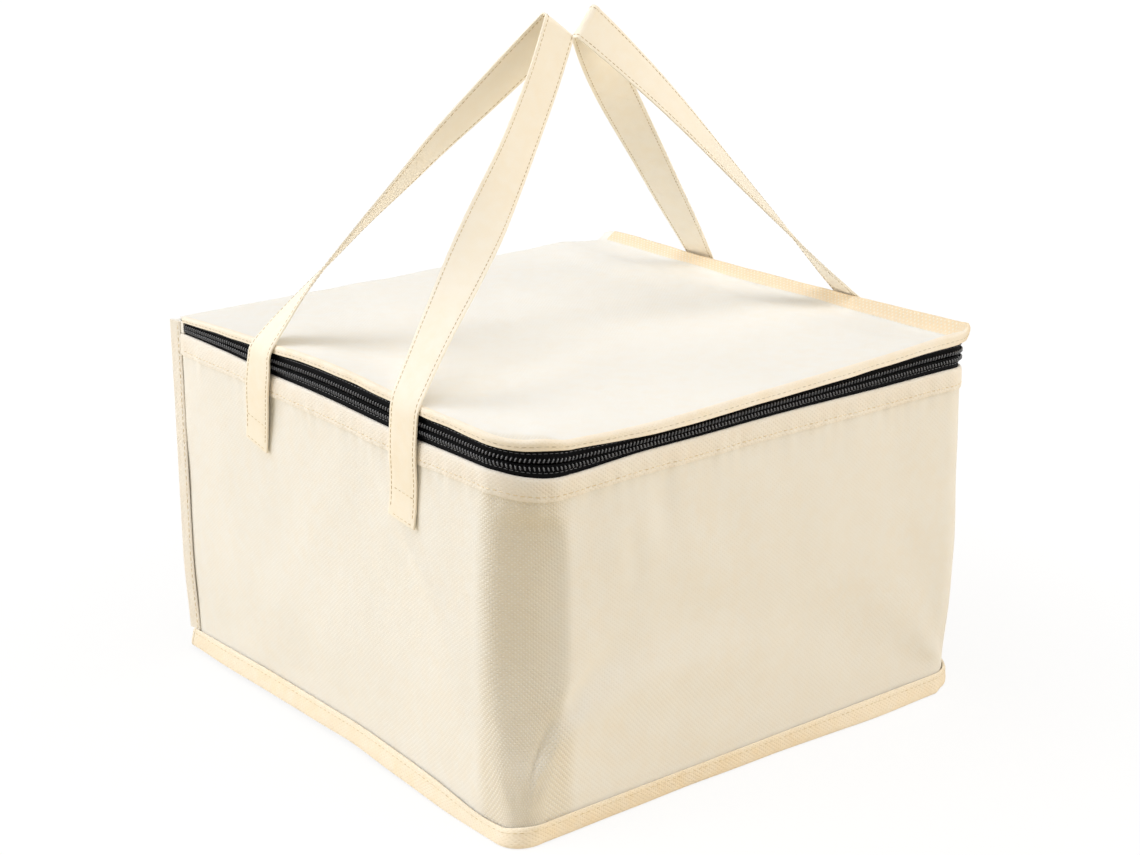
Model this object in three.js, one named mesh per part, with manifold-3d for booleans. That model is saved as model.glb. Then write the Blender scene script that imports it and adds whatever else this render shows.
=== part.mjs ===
// An insulated carrier for a boxed cake: fabric, foam and foil walls, a zipped lid and two carry straps.
// Millimetres, +Z up. The origin is on the floor under the middle of the bag and -Y is its front.
// "Out" is a distance measured outwards from the outer face of the wall fabric, so inner layers are negative.
import * as THREE from 'three';
import { mergeVertices } from 'three/addons/utils/BufferGeometryUtils.js';
import Module from 'manifold-3d';

const wasm = await Module();
wasm.setup();

// Whole bag
const bagWidth = 300;
const bagDepth = 300;
const bagHeight = 196;
const topCornerRadius = 28; // front corners at the zip, where the soft wall opens out
const bottomCornerRadius = 11; // the same corners at the base seam
const cornerSteps = 10;

// Layers of the walls, base and lid
const fabricThickness = 0.8;
const foamThickness = 3;
const foilThickness = 0.4;
const layerGap = 0.3; // clearance between pieces that lie against each other

// Base seam and its binding, a folded strip that hangs outwards and down to the floor
const seamHeight = 8;
const trayRise = 5; // how far in from its rim the base fabric is flat on the floor
const bindingReach = 5.5;
const bindingOverlap = 1.7; // how far the strip reaches up the wall past its lower edge
const bindingThickness = 2.3;

// Zip
const zipBand = 13; // height of zip that shows between wall and lid
const lidHem = 6; // turned-down edge of the lid above the zip
const tapeThickness = 0.5;
const tapeTuck = 8; // how far the lower tape is sewn in behind the wall
const coilWidth = 2.8; // one of the two rows of teeth, across the zip
const coilStand = 1; // how far the teeth stand out of the wall face
const coilGap = 1; // between the two rows, where the slider's neck runs
const zipEndSetback = 9; // the zip stops this far from the back corners

// Sewn hems and threads
const facingThickness = 0.6;
const wallFacingHeight = 11;
const threadThickness = 0.3;
const threadWidth = 0.6;

// Slider and its pull
const sliderLength = 14;
const sliderWidth = 9;
const sliderNoseShare = 0.6; // width of the slider's narrow end
const sliderPlate = 1;
const neckLength = 5;
const neckThickness = 0.4;
const crownLength = 7.2;
const crownWidth = 1.6;
const crownBar = 0.7; // metal over the slot that holds the pull
const pullBar = 0.7; // thickness of the pull and of the bar in the crown's slot
const pullPlay = 0.3;
const pullLength = 30;
const pullWidth = 6;
const pullRail = 1.8;

// Carry straps
const strapWidth = 25;
const strapThickness = 1.4;
const strapSpacing = 130; // between the middles of one strap's two legs
const strapEndDrop = 43; // lower edge of the sewn end, below the top of the wall
const sewnEndHeight = 17.5;
const swingGap = 0.8; // between the sewn end and the free strap above it
const sliderHeadroom = 0.7; // the straps stand clear of the slider passing below them
const strapBendRise = 18; // straps lean in from this far above the lid
const strapBendLength = 16;
const strapPeakRise = 154; // middle of the fold, above the lid
const strapPeakGap = 2; // between the two straps where they meet above the lid
const foldRadius = 2.5;
const twistStartShare = 0.14;
const twistEndShare = 0.64;
const stitchInset = 2.2;
const bowSteps = 8;
const bendSteps = 5;
const leanSteps = 28;
const foldSteps = 5;

// Seam bindings up the two back corners
const finThickness = 2;

// Places worked out from the sizes above
const halfWidth = bagWidth / 2;
const halfDepth = bagDepth / 2;
const lidHemBottom = bagHeight - lidHem;
const wallTop = lidHemBottom - zipBand;
const zipCentre = (lidHemBottom + wallTop) / 2;
const wallBottom = seamHeight + layerGap;
const fabricInner = -fabricThickness;
const foamOuter = fabricInner - layerGap;
const foamInner = foamOuter - foamThickness;
const foilOuter = foamInner - layerGap;
const foilInner = foilOuter - foilThickness;
const tapeOuter = fabricInner - layerGap;
const tapeInner = tapeOuter - tapeThickness;
const tapeClear = tapeInner - layerGap;
const tapeBottom = wallTop - tapeTuck;
const lidUnderside = bagHeight - fabricThickness - layerGap;
const lidFoamBottom = lidUnderside - foamThickness;
const lidFoilTop = lidFoamBottom - layerGap;
const lidFoilBottom = lidFoilTop - foilThickness;
const lowerZipTop = zipCentre - coilGap / 2;
const upperZipBottom = zipCentre + coilGap / 2;
const zipEnd = halfDepth - zipEndSetback;
const sideWallEnd = halfDepth - fabricThickness - layerGap;
const backFoamInner = sideWallEnd - foamThickness;
const facingOuter = layerGap + facingThickness;
const threadInner = facingOuter + layerGap;
const threadOuter = threadInner + threadThickness;

const looks = {
  fabric: { color: '#f6eedb', roughness: 0.9, metalness: 0 },
  binding: { color: '#f8e4bf', roughness: 0.9, metalness: 0 },
  thread: { color: '#fff3d2', roughness: 0.8, metalness: 0 },
  foam: { color: '#f4f4f2', roughness: 1, metalness: 0 },
  foil: { color: '#c9ccd0', roughness: 0.25, metalness: 0.9 },
  tape: { color: '#17171a', roughness: 0.85, metalness: 0 },
  coil: { color: '#26262a', roughness: 0.45, metalness: 0 },
  metal: { color: '#1c1c1f', roughness: 0.35, metalness: 0.8 },
};

// Solids

function signedVolume(positions, faces) {
  const [a, b, c] = [new THREE.Vector3(), new THREE.Vector3(), new THREE.Vector3()];
  let sum = 0;
  for (let i = 0; i < faces.length; i += 3) {
    a.fromArray(positions, faces[i] * 3);
    b.fromArray(positions, faces[i + 1] * 3);
    c.fromArray(positions, faces[i + 2] * 3);
    sum += a.dot(b.cross(c));
  }
  return sum;
}

// Joins rings of points with equal counts into one closed solid. A closed run joins its last ring to the
// first one; an open run is capped with the given triangles. The two halves of a ring are split along
// mirrored diagonals, so that the opposite faces of a twisted strip stay parallel.
function ringSolid(rings, capFaces, closed) {
  const count = rings[0].length;
  const positions = rings.flat().flatMap((p) => [p.x, p.y, p.z]);
  const faces = [];
  const spans = closed ? rings.length : rings.length - 1;
  for (let i = 0; i < spans; i += 1) {
    const here = i * count;
    const next = ((i + 1) % rings.length) * count;
    for (let j = 0; j < count; j += 1) {
      const k = (j + 1) % count;
      if (j < count / 2) {
        faces.push(here + j, here + k, next + k, here + j, next + k, next + j);
      } else {
        faces.push(here + j, here + k, next + j, here + k, next + k, next + j);
      }
    }
  }
  if (!closed) {
    const last = (rings.length - 1) * count;
    for (const [a, b, c] of capFaces) {
      faces.push(a, c, b, last + a, last + b, last + c);
    }
  }
  if (signedVolume(positions, faces) < 0) {
    faces.reverse();
  }
  const geometry = new THREE.BufferGeometry();
  geometry.setAttribute('position', new THREE.Float32BufferAttribute(positions, 3));
  geometry.setIndex(faces);
  return geometry;
}

const flatCap = (points) => {
  const outline = points.map(([x, y]) => new THREE.Vector2(x, y));
  return THREE.ShapeUtils.isClockWise(outline)
    ? THREE.ShapeUtils.triangulateShape(outline.reverse(), []).map((face) =>
        face.map((i) => outline.length - 1 - i).reverse())
    : THREE.ShapeUtils.triangulateShape(outline, []);
};

function boxSolid(low, high) {
  const size = high.map((value, i) => value - low[i]);
  const middle = high.map((value, i) => (value + low[i]) / 2);
  return new THREE.BoxGeometry(...size).translate(...middle);
}

// Manifold solids are used only to join and cut.
function toManifold(geometry) {
  const bare = geometry.clone();
  bare.deleteAttribute('normal');
  bare.deleteAttribute('uv');
  const merged = mergeVertices(bare);
  return new wasm.Manifold(new wasm.Mesh({
    numProp: 3,
    vertProperties: new Float32Array(merged.attributes.position.array),
    triVerts: new Uint32Array(merged.index.array),
  }));
}

function fromManifold(solid) {
  const mesh = solid.getMesh();
  const geometry = new THREE.BufferGeometry();
  geometry.setAttribute('position', new THREE.Float32BufferAttribute(mesh.vertProperties, 3));
  geometry.setIndex([...mesh.triVerts]);
  return geometry;
}

const joined = (geometries) =>
  fromManifold(geometries.map(toManifold).reduce((whole, piece) => whole.add(piece)));

// Plan outline of the bag at a height: rounded front corners, square back corners

function cornerRadius(z) {
  const share = THREE.MathUtils.clamp((z - wallBottom) / (wallTop - wallBottom), 0, 1);
  return THREE.MathUtils.lerp(bottomCornerRadius, topCornerRadius, share);
}

// Points from the left wall's back end, round the front, to the right wall's back end.
function wallRun(out, z, backEnd) {
  const radius = cornerRadius(z);
  const arc = (side, share) => {
    const angle = share * Math.PI / 2;
    const across = radius + (radius + out) * -Math.cos(angle);
    const forward = radius - (radius + out) * Math.sin(angle);
    return [side * (halfWidth - across), forward - halfDepth];
  };
  const shares = Array.from({ length: cornerSteps + 1 }, (_, i) => i / cornerSteps);
  return [
    [-halfWidth - out, backEnd],
    ...shares.map((share) => arc(-1, share)),
    ...shares.toReversed().map((share) => arc(1, share)),
    [halfWidth + out, backEnd],
  ];
}

// Sweeps a section of [out, z] points along the left, front and right walls.
function wallBand(section, backEnd) {
  const runs = section.map(([out, z]) => wallRun(out, z, backEnd).map(([x, y]) => new THREE.Vector3(x, y, z)));
  const rings = runs[0].map((_, i) => runs.map((run) => run[i]));
  return ringSolid(rings, flatCap(section), false);
}

// The same section swept round all four sides, with square back corners.
function ringBand(section) {
  const runs = section.map(([out, z]) =>
    wallRun(out, z, halfDepth + out).map(([x, y]) => new THREE.Vector3(x, y, z)));
  const rings = runs[0].map((_, i) => runs.map((run) => run[i]));
  return ringSolid(rings, [], true);
}

const bandSection = (inner, outer, low, high) => [[inner, low], [outer, low], [outer, high], [inner, high]];

// Stacks outlines into a panel or a tray; each level is [out, z] and the back edge sits where backEnd says.
function panel(levels, backEnd = (out) => halfDepth + out) {
  const outlines = levels.map(([out, z]) => wallRun(out, z, backEnd(out)));
  const rings = outlines.map((outline, i) => outline.map(([x, y]) => new THREE.Vector3(x, y, levels[i][1])));
  return ringSolid(rings, flatCap(outlines[0]), false);
}

// Nodes

function part(name, geometry, look) {
  const material = new THREE.MeshStandardMaterial(looks[look]);
  const mesh = new THREE.Mesh(geometry, material);
  mesh.name = name;
  return mesh;
}

function group(meshes) {
  const holder = new THREE.Group();
  holder.add(...meshes);
  return holder;
}

// Base: a fabric tray whose rim turns up to the seam, a foam pad, a foil lining and the bound seam

function baseParts() {
  const rim = foamOuter;
  const flat = rim - trayRise;
  const slopeThickness = fabricThickness * Math.hypot(trayRise, seamHeight) / trayRise;
  const floorMeetsSlope = flat + (fabricThickness - slopeThickness) * trayRise / seamHeight;
  const tray = panel([[flat, 0], [rim, seamHeight], [rim - fabricThickness, seamHeight],
    [floorMeetsSlope, fabricThickness]]);
  const padBottom = fabricThickness + layerGap;
  const padTop = padBottom + foamThickness;
  const padEdge = flat - fabricThickness;
  const foilBottom = padTop + layerGap;
  const foilTop = foilBottom + foilThickness;
  const foilEdge = foilInner - layerGap;

  const upperStart = wallBottom + bindingOverlap;
  const slope = Math.hypot(bindingReach, upperStart);
  const drop = bindingThickness * slope / bindingReach;
  const cut = bindingThickness * bindingReach / slope;
  const tipOut = layerGap + bindingReach;
  const down = (upperStart - cut) / bindingReach;
  const lowerStart = upperStart - drop;
  const binding = ringBand([
    [layerGap, upperStart],
    [layerGap, lowerStart],
    [layerGap + lowerStart / down, 0],
    [tipOut, cut],
  ]);
  const threadOut = layerGap + bindingReach / 2;
  const threadHeight = (upperStart + cut) / 2 + layerGap * slope / bindingReach;
  const thread = ringBand([
    [threadOut, threadHeight],
    [threadOut + threadWidth, threadHeight - threadWidth * down],
    [threadOut + threadWidth, threadHeight - threadWidth * down + threadThickness],
    [threadOut, threadHeight + threadThickness],
  ]);
  return [
    part('base_fabric_tray', tray, 'fabric'),
    part('base_foam_pad', panel([[padEdge, padBottom], [padEdge, padTop]]), 'foam'),
    part('base_foil_lining', panel([[foilEdge, foilBottom], [foilEdge, foilTop]]), 'foil'),
    part('base_seam_binding', binding, 'binding'),
    part('base_binding_stitching', thread, 'thread'),
  ];
}

// Left, front and right walls in one run, thinned behind the zip tape

function wallParts() {
  const foamSection = [
    [foamInner, wallBottom], [foamOuter, wallBottom], [foamOuter, tapeBottom - layerGap],
    [tapeClear, tapeBottom - layerGap], [tapeClear, wallTop], [foamInner, wallTop],
  ];
  const foilBottom = fabricThickness + foamThickness + foilThickness + layerGap * 3;
  const facingBottom = wallTop - wallFacingHeight;
  const threadHeight = facingBottom + stitchInset;
  const foilSection = [
    [foilInner, foilBottom], [foilOuter, foilBottom], [foilOuter, wallTop], [foilInner, wallTop],
  ];
  return [
    part('wall_fabric', wallBand(bandSection(fabricInner, 0, wallBottom, wallTop), sideWallEnd), 'fabric'),
    part('wall_foam', wallBand(foamSection, sideWallEnd), 'foam'),
    part('wall_foil_lining', wallBand(foilSection, backFoamInner - layerGap), 'foil'),
    part('wall_top_facing',
      wallBand(bandSection(layerGap, facingOuter, facingBottom, wallTop), sideWallEnd), 'binding'),
    part('wall_facing_stitching',
      wallBand(bandSection(threadInner, threadOuter, threadHeight, threadHeight + threadWidth), zipEnd),
      'thread'),
  ];
}

// Back wall, whose fabric runs on over the fold into the lid

function backParts() {
  const foamHalf = halfWidth + foamInner - layerGap;
  const foilHalf = halfWidth + foilInner - layerGap;
  const foamTop = lidFoilBottom - layerGap;
  const foilBack = backFoamInner - layerGap;
  return [
    part('back_fabric', boxSolid([-halfWidth, halfDepth - fabricThickness, wallBottom],
      [halfWidth, halfDepth, lidUnderside]), 'fabric'),
    part('back_foam', boxSolid([-foamHalf, backFoamInner, wallBottom],
      [foamHalf, sideWallEnd, foamTop]), 'foam'),
    part('back_foil_lining', boxSolid([-foilHalf, foilBack - foilThickness, wallBottom],
      [foilHalf, foilBack, foamTop]), 'foil'),
  ];
}

// Bound seams that stand out of the two back corners, and the fabric tabs that close the ends of the zip

function cornerParts(side, name) {
  const diagonal = Math.SQRT1_2;
  const near = layerGap;
  const far = layerGap + bindingReach - finThickness / 2 * diagonal;
  const place = (along, aside) => [
    side * (halfWidth + along + aside * diagonal),
    halfDepth + along - aside * diagonal,
  ];
  const half = finThickness / 2;
  const plan = [place(near, -half), place(near, half), place(far, half), place(far, -half)];
  const bottom = wallBottom + bindingOverlap + layerGap;
  const top = lidHemBottom - layerGap;
  const rings = [bottom, top].map((z) => plan.map(([x, y]) => new THREE.Vector3(x, y, z)));
  const tabFace = side * halfWidth;
  const tabInner = side * (halfWidth - fabricThickness);
  const tab = boxSolid(
    [Math.min(tabFace, tabInner), zipEnd + layerGap, wallTop + layerGap],
    [Math.max(tabFace, tabInner), sideWallEnd, lidHemBottom - layerGap],
  );
  return [
    part(`${name}_seam_binding`, ringSolid(rings, flatCap(plan), false), 'binding'),
    part(`${name}_zip_end_tab`, tab, 'fabric'),
  ];
}

// Zip tape and teeth, one half on the wall and one on the lid

function zipHalf(name, tapeLow, tapeHigh, coilLow) {
  const levels = [tapeLow, tapeLow < wallTop ? wallTop : lidHemBottom, tapeHigh];
  const tape = [
    ...levels.map((z) => [tapeInner, z]),
    ...levels.toReversed().map((z) => [tapeOuter, z]),
  ];
  const coil = bandSection(tapeOuter + layerGap, coilStand, coilLow, coilLow + coilWidth);
  return [
    part(`${name}_zip_tape`, wallBand(tape, zipEnd), 'tape'),
    part(`${name}_zip_teeth`, wallBand(coil, zipEnd), 'coil'),
  ];
}

// Lid: fabric top with a turned-down hem on three sides, foam, foil and the sewn facing of the hem

function lidParts() {
  const skirtTop = bagHeight - fabricThickness / 2;
  const plate = panel([[0, bagHeight - fabricThickness], [0, bagHeight]], () => halfDepth - layerGap);
  const skirt = wallBand(bandSection(fabricInner, 0, lidHemBottom, skirtTop), sideWallEnd);
  const inner = (low, high) => panel([[tapeClear, low], [tapeClear, high]], () => sideWallEnd);
  const threadHeight = (lidHemBottom + bagHeight - threadWidth) / 2;
  return [
    part('lid_fabric', joined([plate, skirt]), 'fabric'),
    part('lid_foam', inner(lidFoamBottom, lidUnderside), 'foam'),
    part('lid_foil_lining', inner(lidFoilBottom, lidFoilTop), 'foil'),
    part('lid_hem_facing',
      wallBand(bandSection(layerGap, facingOuter, lidHemBottom, bagHeight - layerGap), zipEnd), 'binding'),
    part('lid_hem_stitching',
      wallBand(bandSection(threadInner, threadOuter, threadHeight, threadHeight + threadWidth), zipEnd),
      'thread'),
  ];
}

// Slider: two plates joined by a neck between the rows of teeth, and a slotted crown for the pull

const outerPlateIn = coilStand + layerGap;
const outerPlateOut = outerPlateIn + sliderPlate;
const slotHeight = pullBar + 2 * pullPlay;
const slotBottom = outerPlateOut + crownBar / 2;
const pullAxisOut = slotBottom + slotHeight / 2;
const crownTop = slotBottom + slotHeight + crownBar;
const sliderRest = zipEnd - sliderLength / 2 - layerGap;

function sliderOutline(shrink) {
  const half = sliderLength / 2 - shrink;
  const wide = sliderWidth / 2 - shrink;
  const nose = wide * sliderNoseShare;
  return new THREE.Shape([
    new THREE.Vector2(half, -wide),
    new THREE.Vector2(half, wide),
    new THREE.Vector2(0, wide),
    new THREE.Vector2(-half, nose),
    new THREE.Vector2(-half, -nose),
    new THREE.Vector2(0, -wide),
  ]);
}

// Extrudes a shape drawn in the right wall's plane, with its x along +Y and its y along +Z, outwards.
function onRightWall(shape, out, thickness, y, z) {
  const geometry = new THREE.ExtrudeGeometry(shape, { depth: thickness, bevelEnabled: false, curveSegments: 8 });
  const turned = new THREE.Matrix4().makeBasis(
    new THREE.Vector3(0, 1, 0), new THREE.Vector3(0, 0, 1), new THREE.Vector3(1, 0, 0));
  return geometry.applyMatrix4(turned).translate(halfWidth + out, y, z);
}

function sliderPart() {
  const innerPlateOut = tapeInner - layerGap;
  const overlap = sliderPlate / 2;
  const outer = onRightWall(sliderOutline(0), outerPlateIn, sliderPlate, sliderRest, zipCentre);
  const inner = onRightWall(sliderOutline(0), innerPlateOut - sliderPlate, sliderPlate, sliderRest, zipCentre);
  const neck = boxSolid(
    [halfWidth + innerPlateOut - overlap, sliderRest - neckLength / 2, zipCentre - neckThickness / 2],
    [halfWidth + outerPlateIn + overlap, sliderRest + neckLength / 2, zipCentre + neckThickness / 2],
  );
  const crown = boxSolid(
    [halfWidth + outerPlateOut - overlap, sliderRest - crownLength / 2, zipCentre - crownWidth / 2],
    [halfWidth + crownTop, sliderRest + crownLength / 2, zipCentre + crownWidth / 2],
  );
  const slot = boxSolid(
    [halfWidth + slotBottom, sliderRest - slotHeight, zipCentre - crownWidth],
    [halfWidth + slotBottom + slotHeight, sliderRest + slotHeight, zipCentre + crownWidth],
  );
  const crowned = toManifold(crown).subtract(toManifold(slot));
  const body = [outer, inner, neck].map(toManifold).reduce((whole, piece) => whole.add(piece), crowned);
  return part('zip_slider', fromManifold(body), 'metal');
}

function pullPart() {
  const half = pullWidth / 2;
  const windowHalf = half - pullRail;
  const windowEnd = crownLength / 2 + pullPlay + pullBar;
  const outline = new THREE.Shape();
  outline.moveTo(pullBar / 2, -half);
  outline.lineTo(pullBar / 2, half);
  outline.lineTo(half - pullLength, half);
  outline.absarc(half - pullLength, 0, half, Math.PI / 2, Math.PI * 3 / 2, false);
  outline.closePath();
  outline.holes.push(new THREE.Path([
    new THREE.Vector2(-pullBar / 2, -windowHalf),
    new THREE.Vector2(-pullBar / 2, windowHalf),
    new THREE.Vector2(-windowEnd, windowHalf),
    new THREE.Vector2(-windowEnd, -windowHalf),
  ]));
  const geometry = onRightWall(outline, pullAxisOut - pullBar / 2, pullBar, sliderRest, zipCentre);
  return part('zip_pull', geometry, 'metal');
}

// Carry straps: each is one loop, sewn to its side wall at both ends, twisted a quarter turn up each leg and
// folded over at the top. The front half is worked out and mirrored to the back.

const strapInner = crownTop + sliderHeadroom;
const strapEndHeight = wallTop - strapEndDrop;
const freeStart = strapEndHeight + sewnEndHeight + swingGap;

function strapStations(side) {
  const outward = new THREE.Vector3(side, 0, 0);
  const legY = -strapSpacing / 2;
  const standOff = strapInner + strapThickness / 2;
  const bendHeight = bagHeight + strapBendRise;
  const bend = new THREE.Vector3(side * (halfWidth + standOff), legY, bendHeight);

  const peakHeight = bagHeight + strapPeakRise;
  const rise = peakHeight - bendHeight;
  const lean = Math.atan2(rise, Math.abs(bend.x));
  const peakX = strapPeakGap / 2 + strapWidth / 2 * Math.sin(lean);
  const peak = new THREE.Vector3(side * peakX, 0, peakHeight);
  const foot = new THREE.Vector3(bend.x, 0, bend.z);
  const upSlope = peak.clone().sub(foot).normalize();
  const acrossFold = new THREE.Vector3(side * upSlope.z, 0, Math.abs(upSlope.x));
  const halfAngle = Math.atan2(-legY, peak.distanceTo(foot) + foldRadius);
  const vertex = peak.clone().addScaledVector(upSlope, foldRadius / Math.sin(halfAngle) - foldRadius);
  const legLine = vertex.clone().sub(bend).normalize();
  const foldStart = vertex.clone().addScaledVector(legLine, -foldRadius / Math.tan(halfAngle));
  const foldCentre = peak.clone().addScaledVector(upSlope, -foldRadius);

  const stations = [];
  const add = (point, reference) => stations.push({ point, reference });
  const bowStart = layerGap + strapThickness / 2;
  const bowTop = bendHeight - strapBendLength / 2;
  for (let i = 0; i < bowSteps; i += 1) {
    const z = THREE.MathUtils.lerp(freeStart, bowTop, i / bowSteps);
    const bow = THREE.MathUtils.smoothstep(z, freeStart, wallTop);
    const out = THREE.MathUtils.lerp(bowStart, standOff, bow);
    add(new THREE.Vector3(side * (halfWidth + out), legY, z), outward);
  }
  const bendCurve = new THREE.QuadraticBezierCurve3(
    new THREE.Vector3(bend.x, legY, bowTop),
    bend,
    bend.clone().addScaledVector(legLine, strapBendLength / 2),
  );
  for (let i = 0; i < bendSteps; i += 1) {
    const share = i / bendSteps;
    add(bendCurve.getPoint(share), outward.clone().lerp(acrossFold, share).normalize());
  }
  for (let i = 0; i < leanSteps; i += 1) {
    add(bendCurve.v2.clone().lerp(foldStart, i / leanSteps), acrossFold);
  }
  for (let i = 0; i <= foldSteps; i += 1) {
    const angle = (Math.PI / 2 - halfAngle) * (1 - i / foldSteps);
    const point = foldCentre.clone().addScaledVector(upSlope, foldRadius * Math.cos(angle));
    point.y -= foldRadius * Math.sin(angle);
    add(point, acrossFold);
  }
  return stations;
}

// The edges and middle of the strap's two faces at each station. The strap turns a quarter turn about its own
// line, so that its outer face is on the outside of the fold at the top.
function strapRings(side) {
  const mirror = (p) => new THREE.Vector3(p.x, -p.y, p.z);
  const stations = strapStations(side);
  const points = stations.map((station) => station.point);
  const lengths = [0];
  for (let i = 1; i < points.length; i += 1) {
    lengths.push(lengths[i - 1] + points[i].distanceTo(points[i - 1]));
  }
  const total = lengths.at(-1);
  const half = stations.map(({ point, reference }, i) => {
    const before = points[Math.max(i - 1, 0)];
    const after = i + 1 < points.length ? points[i + 1] : mirror(before);
    const along = after.clone().sub(before).normalize();
    const face = reference.clone().addScaledVector(along, -reference.dot(along)).normalize();
    const wide = along.clone().cross(face).multiplyScalar(side);
    const twist = Math.PI / 2 *
      THREE.MathUtils.smoothstep(lengths[i] / total, twistStartShare, twistEndShare);
    const across = wide.clone().multiplyScalar(Math.cos(twist)).addScaledVector(face, Math.sin(twist));
    const normal = face.clone().multiplyScalar(Math.cos(twist)).addScaledVector(wide, -Math.sin(twist));
    const place = (a, n) => point.clone()
      .addScaledVector(across, a * strapWidth / 2)
      .addScaledVector(normal, n * strapThickness / 2);
    return [place(1, 1), place(0, 1), place(-1, 1), place(-1, -1), place(0, -1), place(1, -1)];
  });
  return [...half, ...half.slice(0, -1).toReversed().map((ring) => ring.map(mirror))];
}

function strapLoop(side, name) {
  const cap = [[0, 1, 4], [0, 4, 5], [1, 2, 3], [1, 3, 4]];
  const geometry = ringSolid(strapRings(side), cap, false);
  return part(`${name}_strap`, geometry, 'binding');
}

function strapEnd(side, end, name) {
  const low = layerGap;
  const high = layerGap + strapThickness;
  const middle = end * strapSpacing / 2;
  const faces = [side * (halfWidth + low), side * (halfWidth + high)];
  const patch = boxSolid(
    [Math.min(...faces), middle - strapWidth / 2, strapEndHeight],
    [Math.max(...faces), middle + strapWidth / 2, strapEndHeight + sewnEndHeight],
  );
  const ring = new THREE.Shape(rectangle(strapWidth / 2 - stitchInset, sewnEndHeight / 2 - stitchInset));
  ring.holes.push(new THREE.Path(
    rectangle(strapWidth / 2 - stitchInset - threadWidth, sewnEndHeight / 2 - stitchInset - threadWidth)));
  const height = strapEndHeight + sewnEndHeight / 2;
  const onWall = onRightWall(ring, high + layerGap, threadThickness, middle, height);
  const stitching = side > 0 ? onWall : onWall.rotateZ(Math.PI).translate(0, 2 * middle, 0);
  return [
    part(`${name}_strap_end`, patch, 'binding'),
    part(`${name}_end_stitching`, stitching, 'thread'),
  ];
}

function rectangle(halfX, halfY) {
  return [[-halfX, -halfY], [halfX, -halfY], [halfX, halfY], [-halfX, halfY]]
    .map(([x, y]) => new THREE.Vector2(x, y));
}

// The bag

const bag = new THREE.Group();
bag.add(
  group([
    ...baseParts(),
    ...wallParts(),
    ...backParts(),
    ...cornerParts(-1, 'left'),
    ...cornerParts(1, 'right'),
    ...zipHalf('lower', tapeBottom, lowerZipTop, lowerZipTop - coilWidth),
    ...strapEnd(-1, -1, 'left_front'),
    ...strapEnd(-1, 1, 'left_rear'),
    ...strapEnd(1, -1, 'right_front'),
    ...strapEnd(1, 1, 'right_rear'),
  ]),
  group([...lidParts(), ...zipHalf('upper', upperZipBottom, lidUnderside, upperZipBottom)]),
  group([strapLoop(-1, 'left')]),
  group([strapLoop(1, 'right')]),
  group([sliderPart()]),
  group([pullPart()]),
);

export default bag;
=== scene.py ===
"""The looks of a soft insulated cake carrier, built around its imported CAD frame.

Every length here is in millimetres until a mesh is made. The walls are worked out in their own two directions:
q runs round the bag (0 to 1 along the left side, 1 to 2 round the left front corner, 2 to 3 along the front,
3 to 4 round the right front corner, 4 to 5 along the right side) and z runs up. "Out" is the distance from the
outer face of the wall cloth.
"""
import math
import bpy
import numpy as np
from mathutils import Matrix


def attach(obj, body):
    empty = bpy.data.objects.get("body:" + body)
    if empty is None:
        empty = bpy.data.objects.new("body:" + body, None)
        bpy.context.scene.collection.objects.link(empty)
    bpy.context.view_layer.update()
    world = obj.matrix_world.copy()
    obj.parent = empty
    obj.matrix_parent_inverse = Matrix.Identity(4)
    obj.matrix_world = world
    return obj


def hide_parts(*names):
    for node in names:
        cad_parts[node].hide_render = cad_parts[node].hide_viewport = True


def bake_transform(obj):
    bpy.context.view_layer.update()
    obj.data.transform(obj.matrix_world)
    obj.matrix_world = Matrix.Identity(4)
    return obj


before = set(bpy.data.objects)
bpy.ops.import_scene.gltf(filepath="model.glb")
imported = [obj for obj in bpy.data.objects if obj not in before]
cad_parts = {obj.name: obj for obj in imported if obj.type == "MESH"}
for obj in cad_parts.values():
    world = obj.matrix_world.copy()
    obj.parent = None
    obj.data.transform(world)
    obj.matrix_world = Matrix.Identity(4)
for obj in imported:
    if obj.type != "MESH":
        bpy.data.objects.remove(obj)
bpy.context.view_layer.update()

MM = 0.001
PI = math.pi

# The bag, as in the CAD model
HALF = 150.0
TOP = 196.0
WALL_TOP = 177.0
WALL_BOTTOM = 8.3
HEM_BOTTOM = 190.0
BACK_RADIUS = 6.0
CLOTH = 0.8

# The two front corners' radii, left and right: where lengths round the bag are counted, at the lid's rim, and of
# the lid's lining
COUNTED_RADII = (28.0, 19.0)
LID_RADII = (28.0, 12.0)
LINING_RADII = (28.0, 22.0)

# Where the sides and corners of the wall start and end, as lengths round the bag from the left back corner
RUNS = np.cumsum([0, 2 * HALF - COUNTED_RADII[0], COUNTED_RADII[0] * PI / 2, 2 * HALF - sum(COUNTED_RADII),
        COUNTED_RADII[1] * PI / 2, 2 * HALF - COUNTED_RADII[1], 0, 2 * HALF, 0])
LEFT_CORNER = (RUNS[1] + RUNS[2]) / 2
RIGHT_CORNER = (RUNS[3] + RUNS[4]) / 2


# ---- Shapes ----


def smooth(x, low, high):
    """0 below low, 1 above high and a smooth step (3t^2 - 2t^3) between them."""
    t = np.clip((x - low) / (high - low), 0, 1)
    return t * t * (3 - 2 * t)


def bell(x, middle, width):
    """1 in the middle, falling to both sides as exp(-((x - middle) / width)^2)."""
    return np.exp(-((x - middle) / width) ** 2)


def waves(a, b, size, seed):
    """Soft unevenness, mostly between -1 and 1: a third of the sum of six sine waves about `size` long that cross
    at set angles."""
    rng = np.random.default_rng(seed)
    turns = rng.uniform(0, PI, 6)
    phases = rng.uniform(0, 2 * PI, 6)
    lengths = size * rng.uniform(0.7, 1.5, 6)
    return sum(np.sin((a * math.cos(t) + b * math.sin(t)) * 2 * PI / n + p)
            for t, p, n in zip(turns, phases, lengths)) / 3


def unit(v):
    """v over its own length."""
    return v / np.linalg.norm(v, axis=-1, keepdims=True)


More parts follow.
